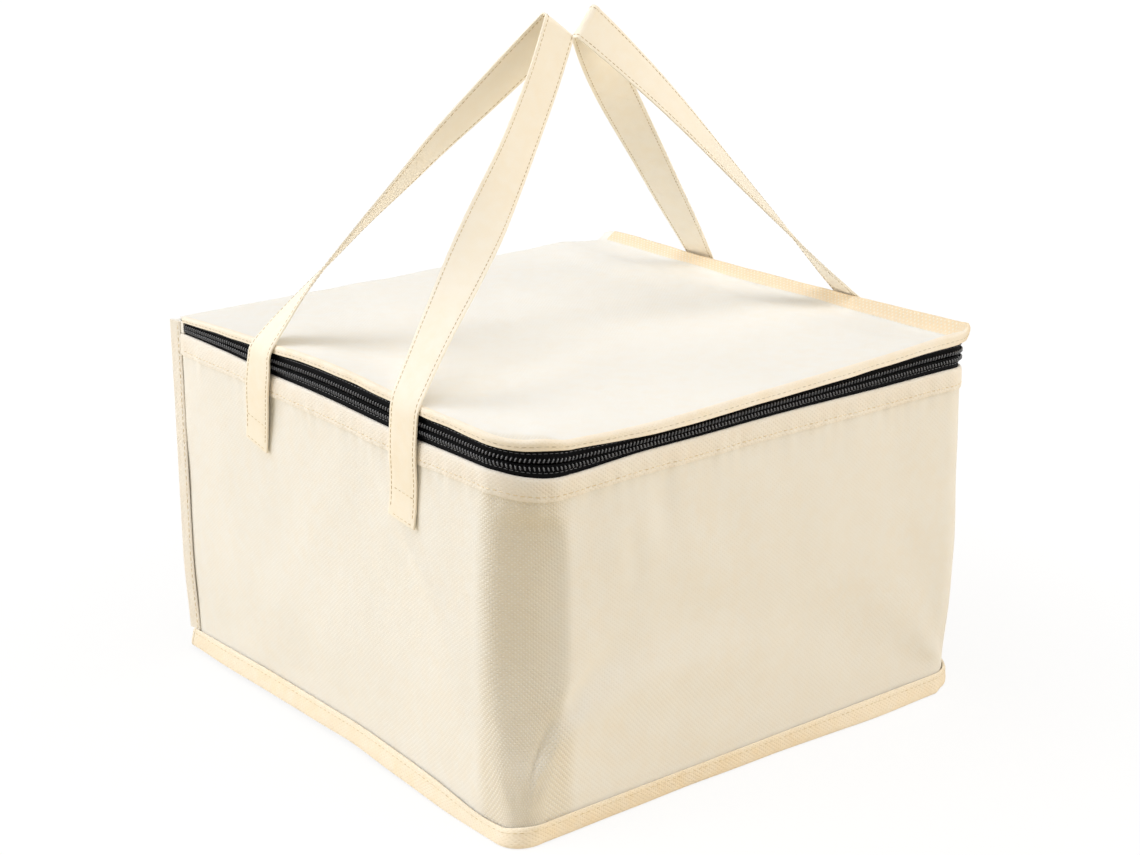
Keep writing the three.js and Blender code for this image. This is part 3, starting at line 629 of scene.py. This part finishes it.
def band(name, material, q_ends, section, steps=430):
    """A strip swept along the walls. The section is a closed loop of (out, z) points in plain heights."""
    section = np.array(section, float)
    q = even_q(q_ends, steps)[:, None]
    rings = on_wall(q, section[:, 1], section[:, 0])
    return make_piece(name, tube_of(rings, False), material, (run_length(q), lengths_along(section)))


WALL_ENDS = (0.0065, 4.9937)
LINING_ENDS = (0.0163, 4.9843)
FACING_ENDS = (0.022, 4.9787)
ZIP_ENDS = (0.0331, 4.968)
ZIP_Q = even_q(ZIP_ENDS, 1200)


def thread_on_wall(name, material, z, out, *bead, lean=0.0):
    """Stitches along the walls at one plain height; bead is their pitch and size where they aren't usual."""
    path = on_wall(ZIP_Q, z, out)
    return make_piece(name, beads(path, on_wall(ZIP_Q, z, out + 1) - path, *bead, lean=lean), material, sharp=0)


def hem_hang(q, z):
    """How far the lid's hem hangs out over the zip: at the front 1.6 mm at its lower edge and nothing at its top,
    and all round a soft unevenness."""
    front = smooth(q, 2.02, 2.3) * (1 - smooth(q, 2.9, 3.1))
    return 1.6 * front * (1 - smooth(z, HEM_BOTTOM, 195)) + 0.25 * waves(run_length(q), 0, 26, 41)


on_body(wall_layer("wall_cloth", IVORY, WALL_ENDS, (WALL_BOTTOM, 176.4), 0.0, -CLOTH),
        "bag", "ivory_fabric", "wall_fabric")
on_body(wall_layer("wall_foam_sheet", FOAM, LINING_ENDS, (9.5, 176.6),
        lambda z: -1.1 - 0.8 * smooth(z, 164, 168), -4.1, (300, 40)), "bag", "white_foam", "wall_foam")

foil_heights = np.linspace(7.5, 176.6, 40)
foil_section = ([(-4.8, z) for z in foil_heights] + [(-4.6, 177.3), (-3.2, 177.5), (-1.9, 177.3), (-1.9, 176.9),
        (-3.2, 177.0), (-4.3, 176.9)] + [(-4.4, z) for z in foil_heights[::-1]])
on_body(band("wall_foil", FOIL, LINING_ENDS, foil_section, 300), "bag", "silver_foil", "wall_foil_lining")

facing_section = [(0.3, 166), (0.75, 165.9), (0.95, 166.6), (0.95, 168.0), (0.85, 168.7), (1.0, 169.6), (1.0, 173),
        (0.95, 175.0), (0.7, 176.3), (0.15, 177.0), (-0.6, 177.1), (-0.95, 176.8), (-0.6, 176.6),
        (0.05, 176.5), (0.3, 175.9), (0.3, 171)]
on_body(band("wall_facing", FACING, FACING_ENDS, facing_section), "bag", "peach_binding", "wall_top_facing")
on_body(thread_on_wall("wall_facing_stitches", THREAD, 168.4, 0.95), "bag", "cream_thread", "wall_facing_stitching")

# Zip: tapes, two rows of teeth that lean towards each other, and the sewing along the tapes
tape_heights = [(169.0, 171.5, 174, 176.5, 178, 179.5, 181, 182.2, 183.0), (184.0, 184.8, 186, 188, 190, 191.5, 193)]
for half, body, heights, tooth, seam, lean, node in (
        ("lower", "bag", tape_heights[0], 181.6, 179.3, 0.38, "lower_zip_tape"),
        ("upper", "lid", tape_heights[1], 185.4, 188.3, -0.38, "upper_zip_tape")):
    section = [(-1.6, z) for z in heights] + [(-1.1, z) for z in heights[::-1]]
    on_body(band(half + "_tape", TAPE, ZIP_ENDS, section), body, "black_tape", node)
    on_body(thread_on_wall(half + "_coil", COIL, tooth, 0.1, 2.1, (1.0, 2.7, 1.7), lean=lean), body,
            "black_nylon", half + "_zip_teeth")
    on_body(thread_on_wall(half + "_tape_stitches", COIL, seam, -0.95, 2.6, (2.0, 0.45, 0.4)), body, "black_nylon")

# Lid and back: one cloth that runs up the back, over a fold and forward to the front of the lid


def plate_rows(back, inset, radii, rows):
    """Depths of a plate's rows from `back` to the front, and each row's left and right end. The rows are evenly
    spaced, then close up as the sine of even angles round the front corners, where the ends follow two circles."""
    widest = max(radii)
    angle = np.linspace(0, PI / 2, 18)[1:]
    y = np.concatenate([np.linspace(back, widest - HALF, rows), widest - HALF - (widest - inset) * np.sin(angle)])
    ends = []
    for side, radius in zip((-1, 1), radii):
        share = np.clip((-y - HALF + radius) / (radius - inset), 0, 1)
        ends.append(side * (HALF - radius + (radius - inset) * np.sqrt(1 - share ** 2)))
    return y, ends


def across_plate(ends, columns):
    """Points across each row, over three times as close in the outer tenth at either side."""
    outer = np.linspace(0.9, 1, columns // 5)
    share = np.concatenate([-outer[::-1], np.linspace(-0.9, 0.9, columns)[1:-1], outer])[None, :]
    return ends[0][:, None] * (1 - share) / 2 + ends[1][:, None] * (1 + share) / 2


def plate(name, material, back, inset, radii, top, thickness):
    """A flat layer: rows across the plan, at the height top(x, y), `thickness` deep."""
    y, ends = plate_rows(back, inset, radii, 60)
    x = across_plate(ends, 70)
    y = y[:, None] + 0 * x
    faces = (settle(grid_of(x, y, top(x, y) - deep)) for deep in (0, thickness))
    return make_piece(name, solid_between(*faces), material, (x, y))


FOLD_RADIUS = 5.0
lid_y, lid_ends = plate_rows(HALF - FOLD_RADIUS, 0.3, LID_RADII, 110)
lid_x = across_plate([end * (1 - tuck(HALF - lid_y) / HALF) for end in lid_ends], 120)
lid_y = lid_y[:, None] + 0 * lid_x
lid_z = lid_height(lid_x, lid_y)
up_share = np.linspace(0, 1, 60)[:, None]
fold_turn = np.linspace(0, PI / 2, 12)[1:-1, None]
fold_y = HALF - FOLD_RADIUS + FOLD_RADIUS * np.cos(fold_turn)
fold_half = HALF - 0.3 - tuck(np.maximum(HALF - fold_y, 2.0))
back_half = HALF - 1.76
back_x = across_plate(np.array([[-back_half], [back_half]]), 120)
crest = lid_z[:1]
rise = WALL_BOTTOM + (crest - FOLD_RADIUS - WALL_BOTTOM) * up_share
swell = np.cos(PI / 2 * back_x / HALF) * np.sin(PI * up_share)
back_y = HALF - tuck(HALF - np.abs(back_x)) + 1.6 * swell + 0.5 * waves(back_x, rise, 100, 31) * swell
sheet_x = np.concatenate([back_x + 0 * up_share, back_x / back_half * fold_half, lid_x])
sheet_y = np.concatenate([back_y, fold_y + (back_y[-1:] - HALF) * (fold_y - HALF + FOLD_RADIUS) / FOLD_RADIUS, lid_y])
sheet_z = np.concatenate([rise, crest - FOLD_RADIUS + FOLD_RADIUS * np.sin(fold_turn), lid_z])
sheet = grid_of(sheet_x, sheet_y, sheet_z)
length = lengths_along(sheet[:, 70])[:, None]
sheet = settle(sheet)
normal = unit(np.cross(np.gradient(sheet, axis=0), np.gradient(sheet, axis=1)))
back_and_lid = make_piece("back_and_lid_cloth", solid_between(sheet, sheet - normal * CLOTH), IVORY,
        (sheet_x, length))
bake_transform(back_and_lid)
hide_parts("back_fabric", "lid_fabric")

on_body(plate("lid_foam_sheet", FOAM, 143.5, 1.9, LINING_RADII, lambda x, y: lid_height(x, y, 0.0) - 1.1, 3.0),
        "lid", "white_foam", "lid_foam")
on_body(plate("lid_foil", FOIL, 143.5, 1.9, LINING_RADII, lambda x, y: lid_height(x, y, 0.0) - 4.4, 0.4),
        "lid", "silver_foil", "lid_foil_lining")

back_u = np.linspace(-1, 1, 50)[None, :]
back_v = np.linspace(0, 1, 40)[:, None]
for name, material, slot, node, half, outer, deep in (
        ("back_foam_sheet", FOAM, "white_foam", "back_foam", 145.4, 148.9, 3.0),
        ("back_foil", FOIL, "silver_foil", "back_foil_lining", 144.7, 145.6, 0.4)):
    x, z = half * back_u, WALL_BOTTOM + 180 * back_v
    y = outer + 1.5 * np.sin(PI * (back_u + 1) / 2) * np.sin(PI * back_v)
    faces = solid_between(settle(grid_of(x, y, z)), settle(grid_of(x, y - deep, z)))
    on_body(make_piece(name, faces, material, (x, z)), "bag", slot, node)

# The lid's hem: a strip that lies on the lid's rim, turns over its edge and hangs down over the zip. The section
# is in (out, z, height above the lid), where z is left open for the part that lies on the lid.
hem_turns = np.array([
    (-6.0, np.nan, 0.1), (-5.7, np.nan, 0.5), (-3.6, np.nan, 0.6), (-0.9, np.nan, 0.6), (0.3, 196.2, 0),
    (0.85, 195.2, 0), (1.0, 193.9, 0), (0.85, 192.8, 0), (1.05, 191.8, 0), (1.0, 190.4, 0), (0.7, 190.0, 0),
    (0.35, 190.2, 0), (0.3, 192, 0), (0.3, 194.8, 0), (0.15, 195.6, 0), (-0.2, 196.05, 0), (-0.9, np.nan, 0.08),
    (-3.6, np.nan, 0.08)])
hem_q = even_q(ZIP_ENDS, 480)[:, None]
hem_out, hem_plain, hem_rise = hem_turns.T
on_lid = np.isnan(hem_plain)
hem_plain = np.where(on_lid, TOP, hem_plain)
hem_v = lengths_along(grid_of(hem_out, hem_plain))
cover = 0.25 + 0.9 * smooth(hem_q, 2.85, 3.2)
hem_out = np.where(on_lid, (hem_out + 0.5) * cover - 0.5, hem_out + hem_hang(hem_q, hem_plain))
plan, _ = outline(hem_q, hem_out, corner_radii(hem_plain))
hem_z = np.where(on_lid, lid_height(plan[..., 0], plan[..., 1]) + hem_rise, soft_height(hem_q, hem_plain))
hem_rings = settle(np.concatenate([plan, hem_z[..., None]], -1))
on_body(make_piece("lid_hem", tube_of(hem_rings, False), HEM, (run_length(hem_q), hem_v)),
        "lid", "peach_binding", "lid_hem_facing")
skirt = [(-0.8, z) for z in (190.3, 192, 194.6)] + [(0.0, z) for z in (194.6, 192, 190.3)]
on_body(band("lid_skirt", IVORY, ZIP_ENDS, skirt, 300), "lid", "ivory_fabric")
on_body(thread_on_wall("lid_hem_stitches", HEM_THREAD, 192.8, 0.95 + hem_hang(ZIP_Q, 192.8)),
        "lid", "cream_thread", "lid_hem_stitching")

# Base: a cloth tray whose rim turns up to the seam, its foam and foil, and the bound seam


def tray_height(x, y):
    """Flat on the floor, then up to the seam: 7.4 mm times a smooth step of the last 6 mm before the rim, less
    where the seam sags."""
    front, q = rim_place(x, y, BASE_RADII)
    rim = np.minimum(front, HALF - y)
    return CLOTH + 7.4 * (1 - seam_sag(q) / 11) * (1 - smooth(rim, 1.1, 7.5))


on_body(plate("base_cloth", IVORY, 148.9, 1.1, BASE_RADII, tray_height, CLOTH), "bag", "ivory_fabric",
        "base_fabric_tray")
INNER_RADII = (BASE_RADII[0] + 2, BASE_RADII[1] + 2)
on_body(plate("base_foam_sheet", FOAM, 143.1, 6.9, INNER_RADII, lambda x, y: 4.1 + 0 * x, 2.95),
        "bag", "white_foam", "base_foam_pad")
on_body(plate("base_foil", FOIL, 144.7, 5.2, INNER_RADII, lambda x, y: 4.8 + 0 * x, 0.4),
        "bag", "silver_foil", "base_foil_lining")


def flat_section(count, wide, wide_power, thick, thick_power):
    """A closed flat section with rounded edges: half widths times powers of the cosine and sine, signs kept."""
    turn = np.linspace(0, 2 * PI, count)[:-1]
    return (half * np.sign(wave) * np.abs(wave) ** power
            for half, wave, power in ((wide, np.cos(turn), wide_power), (thick, np.sin(turn), thick_power)))


strip_along, strip_thick = flat_section(25, 5.3, 0.55, 0.95, 0.8)
BINDING_TOP, BINDING_TIP = np.array([1.35, 9.5]), np.array([4.9, 1.0])


# How far the base strip's lower edge stands out of the wall, as (q, mm)
FOOT_Q = np.array([0, 0.15, 0.8, 1.0, 1.3, 1.6, 1.85, 2.05, 2.5, 2.7, 2.86, 2.98, 3.15, 3.8, 4.1, 8])
FOOT_OUT = np.array([3.2, 4.9, 4.9, 5.2, 5.2, 3.6, 2.0, 1.0, 1.0, 3.2, 5.0, 4.2, 1.4, 1.8, 4.6, 3.2])


def binding_points(q, along, thick):
    """The folded strip round the base seam: a flat tube whose middle line falls from the wall to its lower edge
    on the floor, lower throughout where the seam sags."""
    middle = (BINDING_TOP + BINDING_TIP) / 2
    axis = unit(BINDING_TOP - BINDING_TIP)
    out = middle[0] + along * axis[0] + thick * axis[1]
    z = middle[1] + along * axis[1] - thick * axis[0]
    lower = np.clip(0.5 - along / 10.6, 0, 1)
    foot = from_table(q, FOOT_OUT, FOOT_Q, 0.05)
    out = out + lower * (foot - 4.9 + 0.3 * waves(run_length(q), 0, 60, 51))
    plan, _ = outline(q, out, BASE_RADII, 3.0)
    z = np.maximum(z * (1 - seam_sag(q) / 11), 0.05)
    return settle(np.concatenate([plan, z[..., None]], -1))


ring_q = np.concatenate([np.linspace(k, k + 1, n)[:-1] for k, n in enumerate((90, 16, 90, 16, 90, 8, 90, 8))])
binding = binding_points(ring_q[:, None], strip_along, strip_thick)
on_body(make_piece("base_binding", tube_of(binding, True), PEACH,
        (lengths_along(binding[:, 0])[:, None], strip_along)), "bag", "peach_binding", "base_seam_binding")
sewn, above = (binding_points(np.append(ring_q, 8 - 1e-6), 2.6, thick) for thick in (1.0, 2.0))
on_body(make_piece("base_binding_stitches", beads(sewn, above - sewn), THREAD, sharp=0),
        "bag", "cream_thread", "base_binding_stitching")

# Bound seams up the back corners: a strip that lies on the side wall's last 6 mm and stands out past the corner.
# The section is in (sideways, backwards) from the corner of the plain square.
corner_section = np.array([
    (0.1, -5.6), (0.5, -5.8), (0.9, -5.4), (1.1, -4.7), (1.0, -4.2), (1.25, -3.6), (1.4, -2.4), (1.5, -1.2),
    (1.75, 0.3), (2.0, 1.4), (2.1, 2.0), (1.95, 2.35), (1.6, 2.4), (1.0, 2.1), (0, 1.4), (-0.9, 0.7), (-1.9, 0.25),
    (-2.6, 0.05), (-2.75, -0.35), (-2.2, -0.85), (-1.3, -1.3), (-0.75, -2.2), (-0.1, -3.8), (0.05, -5.0)])
sideways, backwards = corner_section.T
heights = np.linspace(10.3, 189.7, 70)[:, None]
reach = HALF + sideways * np.where(backwards > -3, 1 + 0.1 * waves(heights, 0, 60, 61), 1)
for side, name, q, ends, tab_top in (
        (-1, "left", 0.0, (0.0065, 0.032), 189.6), (1, "right", 5.0, (4.969, 4.9937), 193.0)):
    z = soft_height(q, heights)
    rings = settle(grid_of(side * reach, HALF + backwards, z))
    on_body(make_piece(name + "_corner_binding", tube_of(rings, False), FACING,
            (lengths_along(corner_section), heights)), "bag", "peach_binding", name + "_seam_binding")
    seam = settle(grid_of(side * (HALF + 1.15), HALF - 4.2, z[:, 0]))
    on_body(make_piece(name + "_corner_stitches", beads(seam, np.repeat([[side, 0, 0.0]], 70, 0)), THREAD, sharp=0),
            "bag", "cream_thread")
    tab = [(-0.8, z) for z in np.linspace(177.4, tab_top, 8)] + [(0.0, tab_top + 0.2)] + [
        (0.25, z) for z in np.linspace(tab_top - 0.1, 177.7, 8)] + [(0.0, 177.4)]
    on_body(band(name + "_zip_tab", IVORY, ends, tab, 10), "bag", "ivory_fabric", name + "_zip_end_tab")


# ---- Straps ----

STRAP_HALF_WIDTH = 10.8
STRAP_HALF_THICK = 0.7
STRAP_FOLD = 2.5
STRAP_SEAM = 0.83

# Where each strap's fold lies at the top, and the way its outer end points
APEX = {-1: (np.array([-7.0, 0.5, 350.3]), np.array([-0.765, 0.050, 0.642])),
        1: (np.array([12.5, 3.5, 350.3]), np.array([0.786, 0.149, 0.600]))}

# The legs, by side (-1 left) and end (-1 front). The sewn end: its depth (y), its height and how much narrower it
# is. Where the leg leaves the zip: its depth, height and stand-off. Then how far it bows out half way (x, y, z),
# how far it sways (one way in its first half, the other way in its second), and the share of its turn done at
# 0.2, 0.4, 0.6 and 0.8 of its length
LEGS = {
    (-1, -1): ((-60.9, 136.4, 1.0), (-67.9, 195.9, 2.9), (3.59, 0.75, -2.9), (-1.28, -1.5, 3.27),
               (0.11, 0.45, 0.89, 1.0)),
    (-1, 1): ((71.2, 140.2, 0.93), (58.6, 195.1, 2.9), (-5.4, 7.36, -4.04), (-1.05, 1.62, -1.46),
              (0.35, 0.48, 0.68, 0.86)),
    (1, -1): ((-62.0, 134.0, 1.0), (-52.4, 193.4, 6.05), (-0.54, -2.02, 1.88), (-0.39, -0.41, -1.4),
              (0.28, 0.47, 0.63, 0.81)),
    (1, 1): ((66.0, 134.0, 1.0), (69.8, 193.4, 6.05), (-0.51, 2.58, 2.41), (0.31, -0.58, -0.39),
             (0.16, 0.25, 0.41, 0.67))}


def strap_leg(side, end, fold_end, fold):
    """One leg's middle line from its sewn end to the fold, and half its width as a vector. It rises up the wall,
    standing off by a smooth step, then runs to the fold: a straight line plus a bow b 4t(1 - t) and a sway
    s 10t(1 - t)(1 - 2t). Across it, a direction that starts level turns about the leg until it lies along the fold.
    The line is evened out over 9 mm and the turn over 45 mm."""
    (sewn_y, sewn_z, narrow), (bend_y, bend_z, stand), bow, sway, turned = LEGS[side, end]
    z = np.linspace(sewn_z, bend_z, 60)
    y = sewn_y + (bend_y - sewn_y) * (z - sewn_z) / (bend_z - sewn_z)
    q = (HALF - y) / (RUNS[1] - RUNS[0]) if side < 0 else 5 - (HALF - y) / (RUNS[5] - RUNS[4])
    out = 1.0 + (stand - 1.0) * smooth(z, 152.3, WALL_TOP) + relief(q, z) * (1 - smooth(z, 140, 160))
    wall_part = grid_of(side * (HALF + out), y, z)
    t = np.linspace(0, 1, 120)[1:, None]
    free_part = ((1 - t) * wall_part[-1] + t * fold_end + np.array(bow) * 4 * t * (1 - t)
            + np.array(sway) * 10 * t * (1 - t) * (1 - 2 * t))
    line = np.concatenate([wall_part, free_part])
    travelled = lengths_along(line)
    even = np.linspace(0, travelled[-1], int(travelled[-1] / 1.5))
    share = np.clip((even - travelled[59]) / (travelled[-1] - travelled[59]), 0, 1)
    line = even_out(read_along(even, travelled, line))
    along = unit(np.gradient(line, axis=0))
    level = np.array([0, -end, 0.0])
    across = unit(level - along * dots(along, level))
    out_of = np.cross(along, across)
    target = unit(fold - along[-1] * dots(along[-1], fold))
    whole = math.atan2(dots(target, out_of[-1])[0], dots(target, across[-1])[0])
    turn = whole * even_out(np.interp(share, [0, 0.2, 0.4, 0.6, 0.8, 1], [0, *turned, 1])[:, None], 15)
    wide = STRAP_HALF_WIDTH * (narrow + (1 - narrow) * smooth(line[:, 2], sewn_z, 185))
    return line, (across * np.cos(turn) + out_of * np.sin(turn)) * wide[:, None]


def even_out(values, reach=3):
    """A moving mean over `reach` neighbours on either side; beyond its ends the run goes straight on."""
    ahead = values[:1] - (values[1:2] - values[:1]) * np.arange(reach, 0, -1)[:, None]
    beyond = values[-1:] + (values[-1:] - values[-2:-1]) * np.arange(1, reach + 1)[:, None]
    padded = np.concatenate([ahead, values, beyond])
    count = len(values)
    return sum(padded[i:i + count] for i in range(2 * reach + 1)) / (2 * reach + 1)


def strap_frame(side):
    """The whole strap from its front sewn end over the fold to its rear one: middle line, half its width as a
    vector, the way its face looks, and the length so far. The fold is an arc of STRAP_FOLD round a line through
    the apex; it starts where the front leg's own lean meets it and ends where the rear leg's does."""
    apex, fold = APEX[side]
    fold = unit(fold)
    rises = []
    for end in (-1, 1):
        bend_y, bend_z, stand = LEGS[side, end][1]
        rises.append(unit(apex - [side * (HALF + stand), bend_y, bend_z]))
    up = unit(rises[0] + rises[1])
    up = unit(up - fold * dots(up, fold))
    forward = np.cross(fold, up)
    forward = -forward * np.sign(forward[1])
    centre = apex - up * STRAP_FOLD
    legs, starts = [], []
    for end, rise, way in ((-1, rises[0], forward), (1, rises[1], -forward)):
        lean = math.atan2(-dots(rise, way)[0], dots(rise, up)[0])
        starts.append(lean)
        fold_end = centre + STRAP_FOLD * (way * math.cos(lean) + up * math.sin(lean))
        legs.append(strap_leg(side, end, fold_end, fold))
    angle = np.linspace(starts[0], PI - starts[1], 14)[1:-1, None]
    arc = centre + STRAP_FOLD * (forward * np.cos(angle) + up * np.sin(angle))
    share = np.linspace(0, 1, 14)[1:-1, None]
    over = legs[0][1][-1] * (1 - share) + legs[1][1][-1] * share
    line = np.concatenate([legs[0][0], arc, legs[1][0][::-1]])
    across = np.concatenate([legs[0][1], over, legs[1][1][::-1]])
    along = unit(np.gradient(line, axis=0))
    across = across - along * dots(across, along)
    return line, across, np.cross(along, unit(across)), lengths_along(line)


strap_a, strap_n = flat_section(29, 1, 0.5, STRAP_HALF_THICK, 0.35)
strap_n = strap_n * (1 - 0.3 * bell(np.abs(strap_a), STRAP_SEAM, 0.05))

for side, name in ((-1, "left"), (1, "right")):
    line, across_strap, normal, length = strap_frame(side)
    free = smooth(line[:, 2], 200, 240) * (1 - smooth(line[:, 2], 320, 345))
    middle = line + normal * (0.4 * waves(length, 0, 70, 70 + side) * free)[:, None]
    rings = middle[:, None] + across_strap[:, None] * strap_a[:, None] + normal[:, None] * strap_n[:, None]
    strap = make_piece(name + "_strap_webbing", tube_of(settle(rings), False), STRAP_CLOTH,
            (length[:, None], STRAP_HALF_WIDTH * strap_a))
    rows = []
    outer = np.sign(normal[0, 0]) * side
    for edge in (-STRAP_SEAM, STRAP_SEAM):
        for face in (-1, 1):
            inner = slice(3, -3) if face == outer else slice(13, -13)
            path = middle + across_strap * edge + normal * face * 0.55
            rows.append(beads(settle(path)[inner], (normal * face)[inner], 2.7, (2.1, 0.36, 0.42)))
    for row in (1, 10, -11, -2):
        path = middle[row] + across_strap[row] * np.linspace(-STRAP_SEAM, STRAP_SEAM, 20)[:, None]
        path = settle(path + normal[row] * outer * 0.62)
        rows.append(beads(path, np.repeat(normal[row][None] * outer, 20, 0), 3.2, (2.3, 0.4, 0.42)))
    stitches = make_piece(name + "_strap_stitches", gather(rows), STRAP_THREAD, sharp=0)
    ends = [name + "_front_strap_end", name + "_rear_strap_end"]
    for piece, slot, nodes in (
            (strap, "peach_binding", [name + "_strap"] + ends),
            (stitches, "cream_thread", [name + "_front_end_stitching", name + "_rear_end_stitching"])):
        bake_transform(piece)
        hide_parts(*nodes)

# Slider and pull: the CAD solids with their edges rounded by 0.25 mm
for node, body in (("zip_slider", "slider"), ("zip_pull", "pull")):
    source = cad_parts[node]
    piece = new_object(node + "_finished", source.data.copy())
    weld = piece.modifiers.new("Merge", "WELD")
    weld.merge_threshold = 0.00001
    soften = piece.modifiers.new("Round edges", "BEVEL")
    soften.width = 0.25 * MM
    soften.segments = 2
    soften.limit_method = "ANGLE"
    soften.angle_limit = math.radians(40)
    piece.data.materials.clear()
    piece.data.materials.append(METAL)
    piece.data.shade_smooth()
    piece.data.set_sharp_from_angle(angle=math.radians(35))
    on_body(piece, body, "black_metal", node)


# ---- Floor, light and camera ----


def seen_rays(tree):
    """1 for what the camera sees, directly, mirrored or through something, and 0 for light on its way."""
    ray = add(tree, "LightPath", out=None)
    seen = add(tree, "Math", (ray["Is Camera Ray"], ray["Is Glossy Ray"]), operation="MAXIMUM")
    return add(tree, "Math", (seen, ray["Is Transmission Ray"]), operation="MAXIMUM")


def floor_material():
    """Matt, faintly warm seamless studio paper. The camera and reflections see it near white, wholly so from
    0.5 m outwards, and what is left of its own shading near the bag keeps the soft shadow; the faint mottling is
    its fibre."""
    material, tree, place = start_material("white_seamless_paper")
    seen = seen_rays(tree)
    fibre = add(tree, "TexNoise", {"Vector": place, "Scale": 1 / (40 * MM), "Detail": 4, "Roughness": 0.6})
    tone = add(tree, "Mix", {SHARE: fibre, UNDER: "#f0e4cc", OVER: "#eaddc2"}, MIXED, data_type="RGBA")
    tone = add(tree, "Mix", {SHARE: seen, UNDER: tone, OVER: "#f4f3f0"}, MIXED, data_type="RGBA")
    paper = add(tree, "BsdfDiffuse", {"Color": tone})
    glow = add(tree, "Emission", {"Color": "#ffffff", "Strength": 1.02})
    away = add(tree, "VectorMath", (place,), "Value", operation="LENGTH")
    white = add(tree, "MapRange", (away, 0.18, 0.5, 0.84, 1), interpolation_type="SMOOTHSTEP")
    share = add(tree, "Math", (seen, white), operation="MULTIPLY")
    add(tree, "OutputMaterial", {"Surface": add(tree, "MixShader", (share, paper, glow))}, None)
    return material


FLOOR_REACH = 9.0
mesh = bpy.data.meshes.new("studio_floor")
corners = [(x * FLOOR_REACH, y * FLOOR_REACH, -0.2 * MM) for x, y in ((-1, -1), (1, -1), (1, 1), (-1, 1))]
mesh.from_pydata(corners, [], [[0, 1, 2, 3]])
mesh.materials.append(floor_material())
new_object("studio_floor", mesh)


def softbox(name, azimuth, elevation, distance, size, level, colour):
    """A square lamp aimed at the middle of the bag. A white surface that faces it gets `level` of full white, which
    takes a power of level * pi^2 * distance^2 watts."""
    lamp = bpy.data.lights.new(name, "AREA")
    lamp.shape = "SQUARE"
    lamp.size = size
    lamp.color = linear(colour)[:3]
    lamp.energy = level * PI ** 2 * distance ** 2
    azimuth, elevation = math.radians(azimuth), math.radians(elevation)
    away = np.array([math.cos(azimuth) * math.cos(elevation), math.sin(azimuth) * math.cos(elevation),
            math.sin(elevation)])
    right = unit(np.cross([0, 0, 1], away))
    place = np.stack([right, np.cross(away, right), away, away * distance + [0, 0, 0.1]], -1)
    new_object(name, lamp).matrix_world = Matrix([*place.tolist(), (0, 0, 0, 1)])


softbox("left_softbox", 140, 28, 3.2, 3.0, 0.87, "#ffffff")
softbox("front_softbox", 310, 28, 3.2, 2.8, 0.645, "#fff8ee")
softbox("top_softbox", 225, 80, 3.2, 2.6, 0.45, "#ffffff")

world = bpy.data.worlds.new("studio")
world.use_nodes = True
tree = world.node_tree
tree.nodes.clear()
seen = seen_rays(tree)
strength = add(tree, "Math", (seen, 0.86, 0.14), operation="MULTIPLY_ADD")
tone = add(tree, "Mix", {SHARE: seen, UNDER: "#fff0d8", OVER: "#ffffff"}, MIXED, data_type="RGBA")
room = add(tree, "Background", {"Color": tone, "Strength": strength})
add(tree, "OutputWorld", {"Surface": room}, None)
bpy.context.scene.world = world

lens = bpy.data.cameras.new("camera")
lens.lens = 70.06
lens.sensor_fit = "HORIZONTAL"
lens.sensor_width = 36
lens.clip_start = 0.01
lens.clip_end = 100
camera = new_object("camera", lens)
camera.matrix_world = Matrix(((0.77758512, 0.19315455, -0.59837505, -0.7074),
        (-0.62877769, 0.23886678, -0.73998735, -0.8752), (0, 0.95164803, 0.30719053, 0.5001), (0, 0, 0, 1)))
bpy.context.scene.camera = camera
bpy.context.scene.view_settings.view_transform = "Standard"
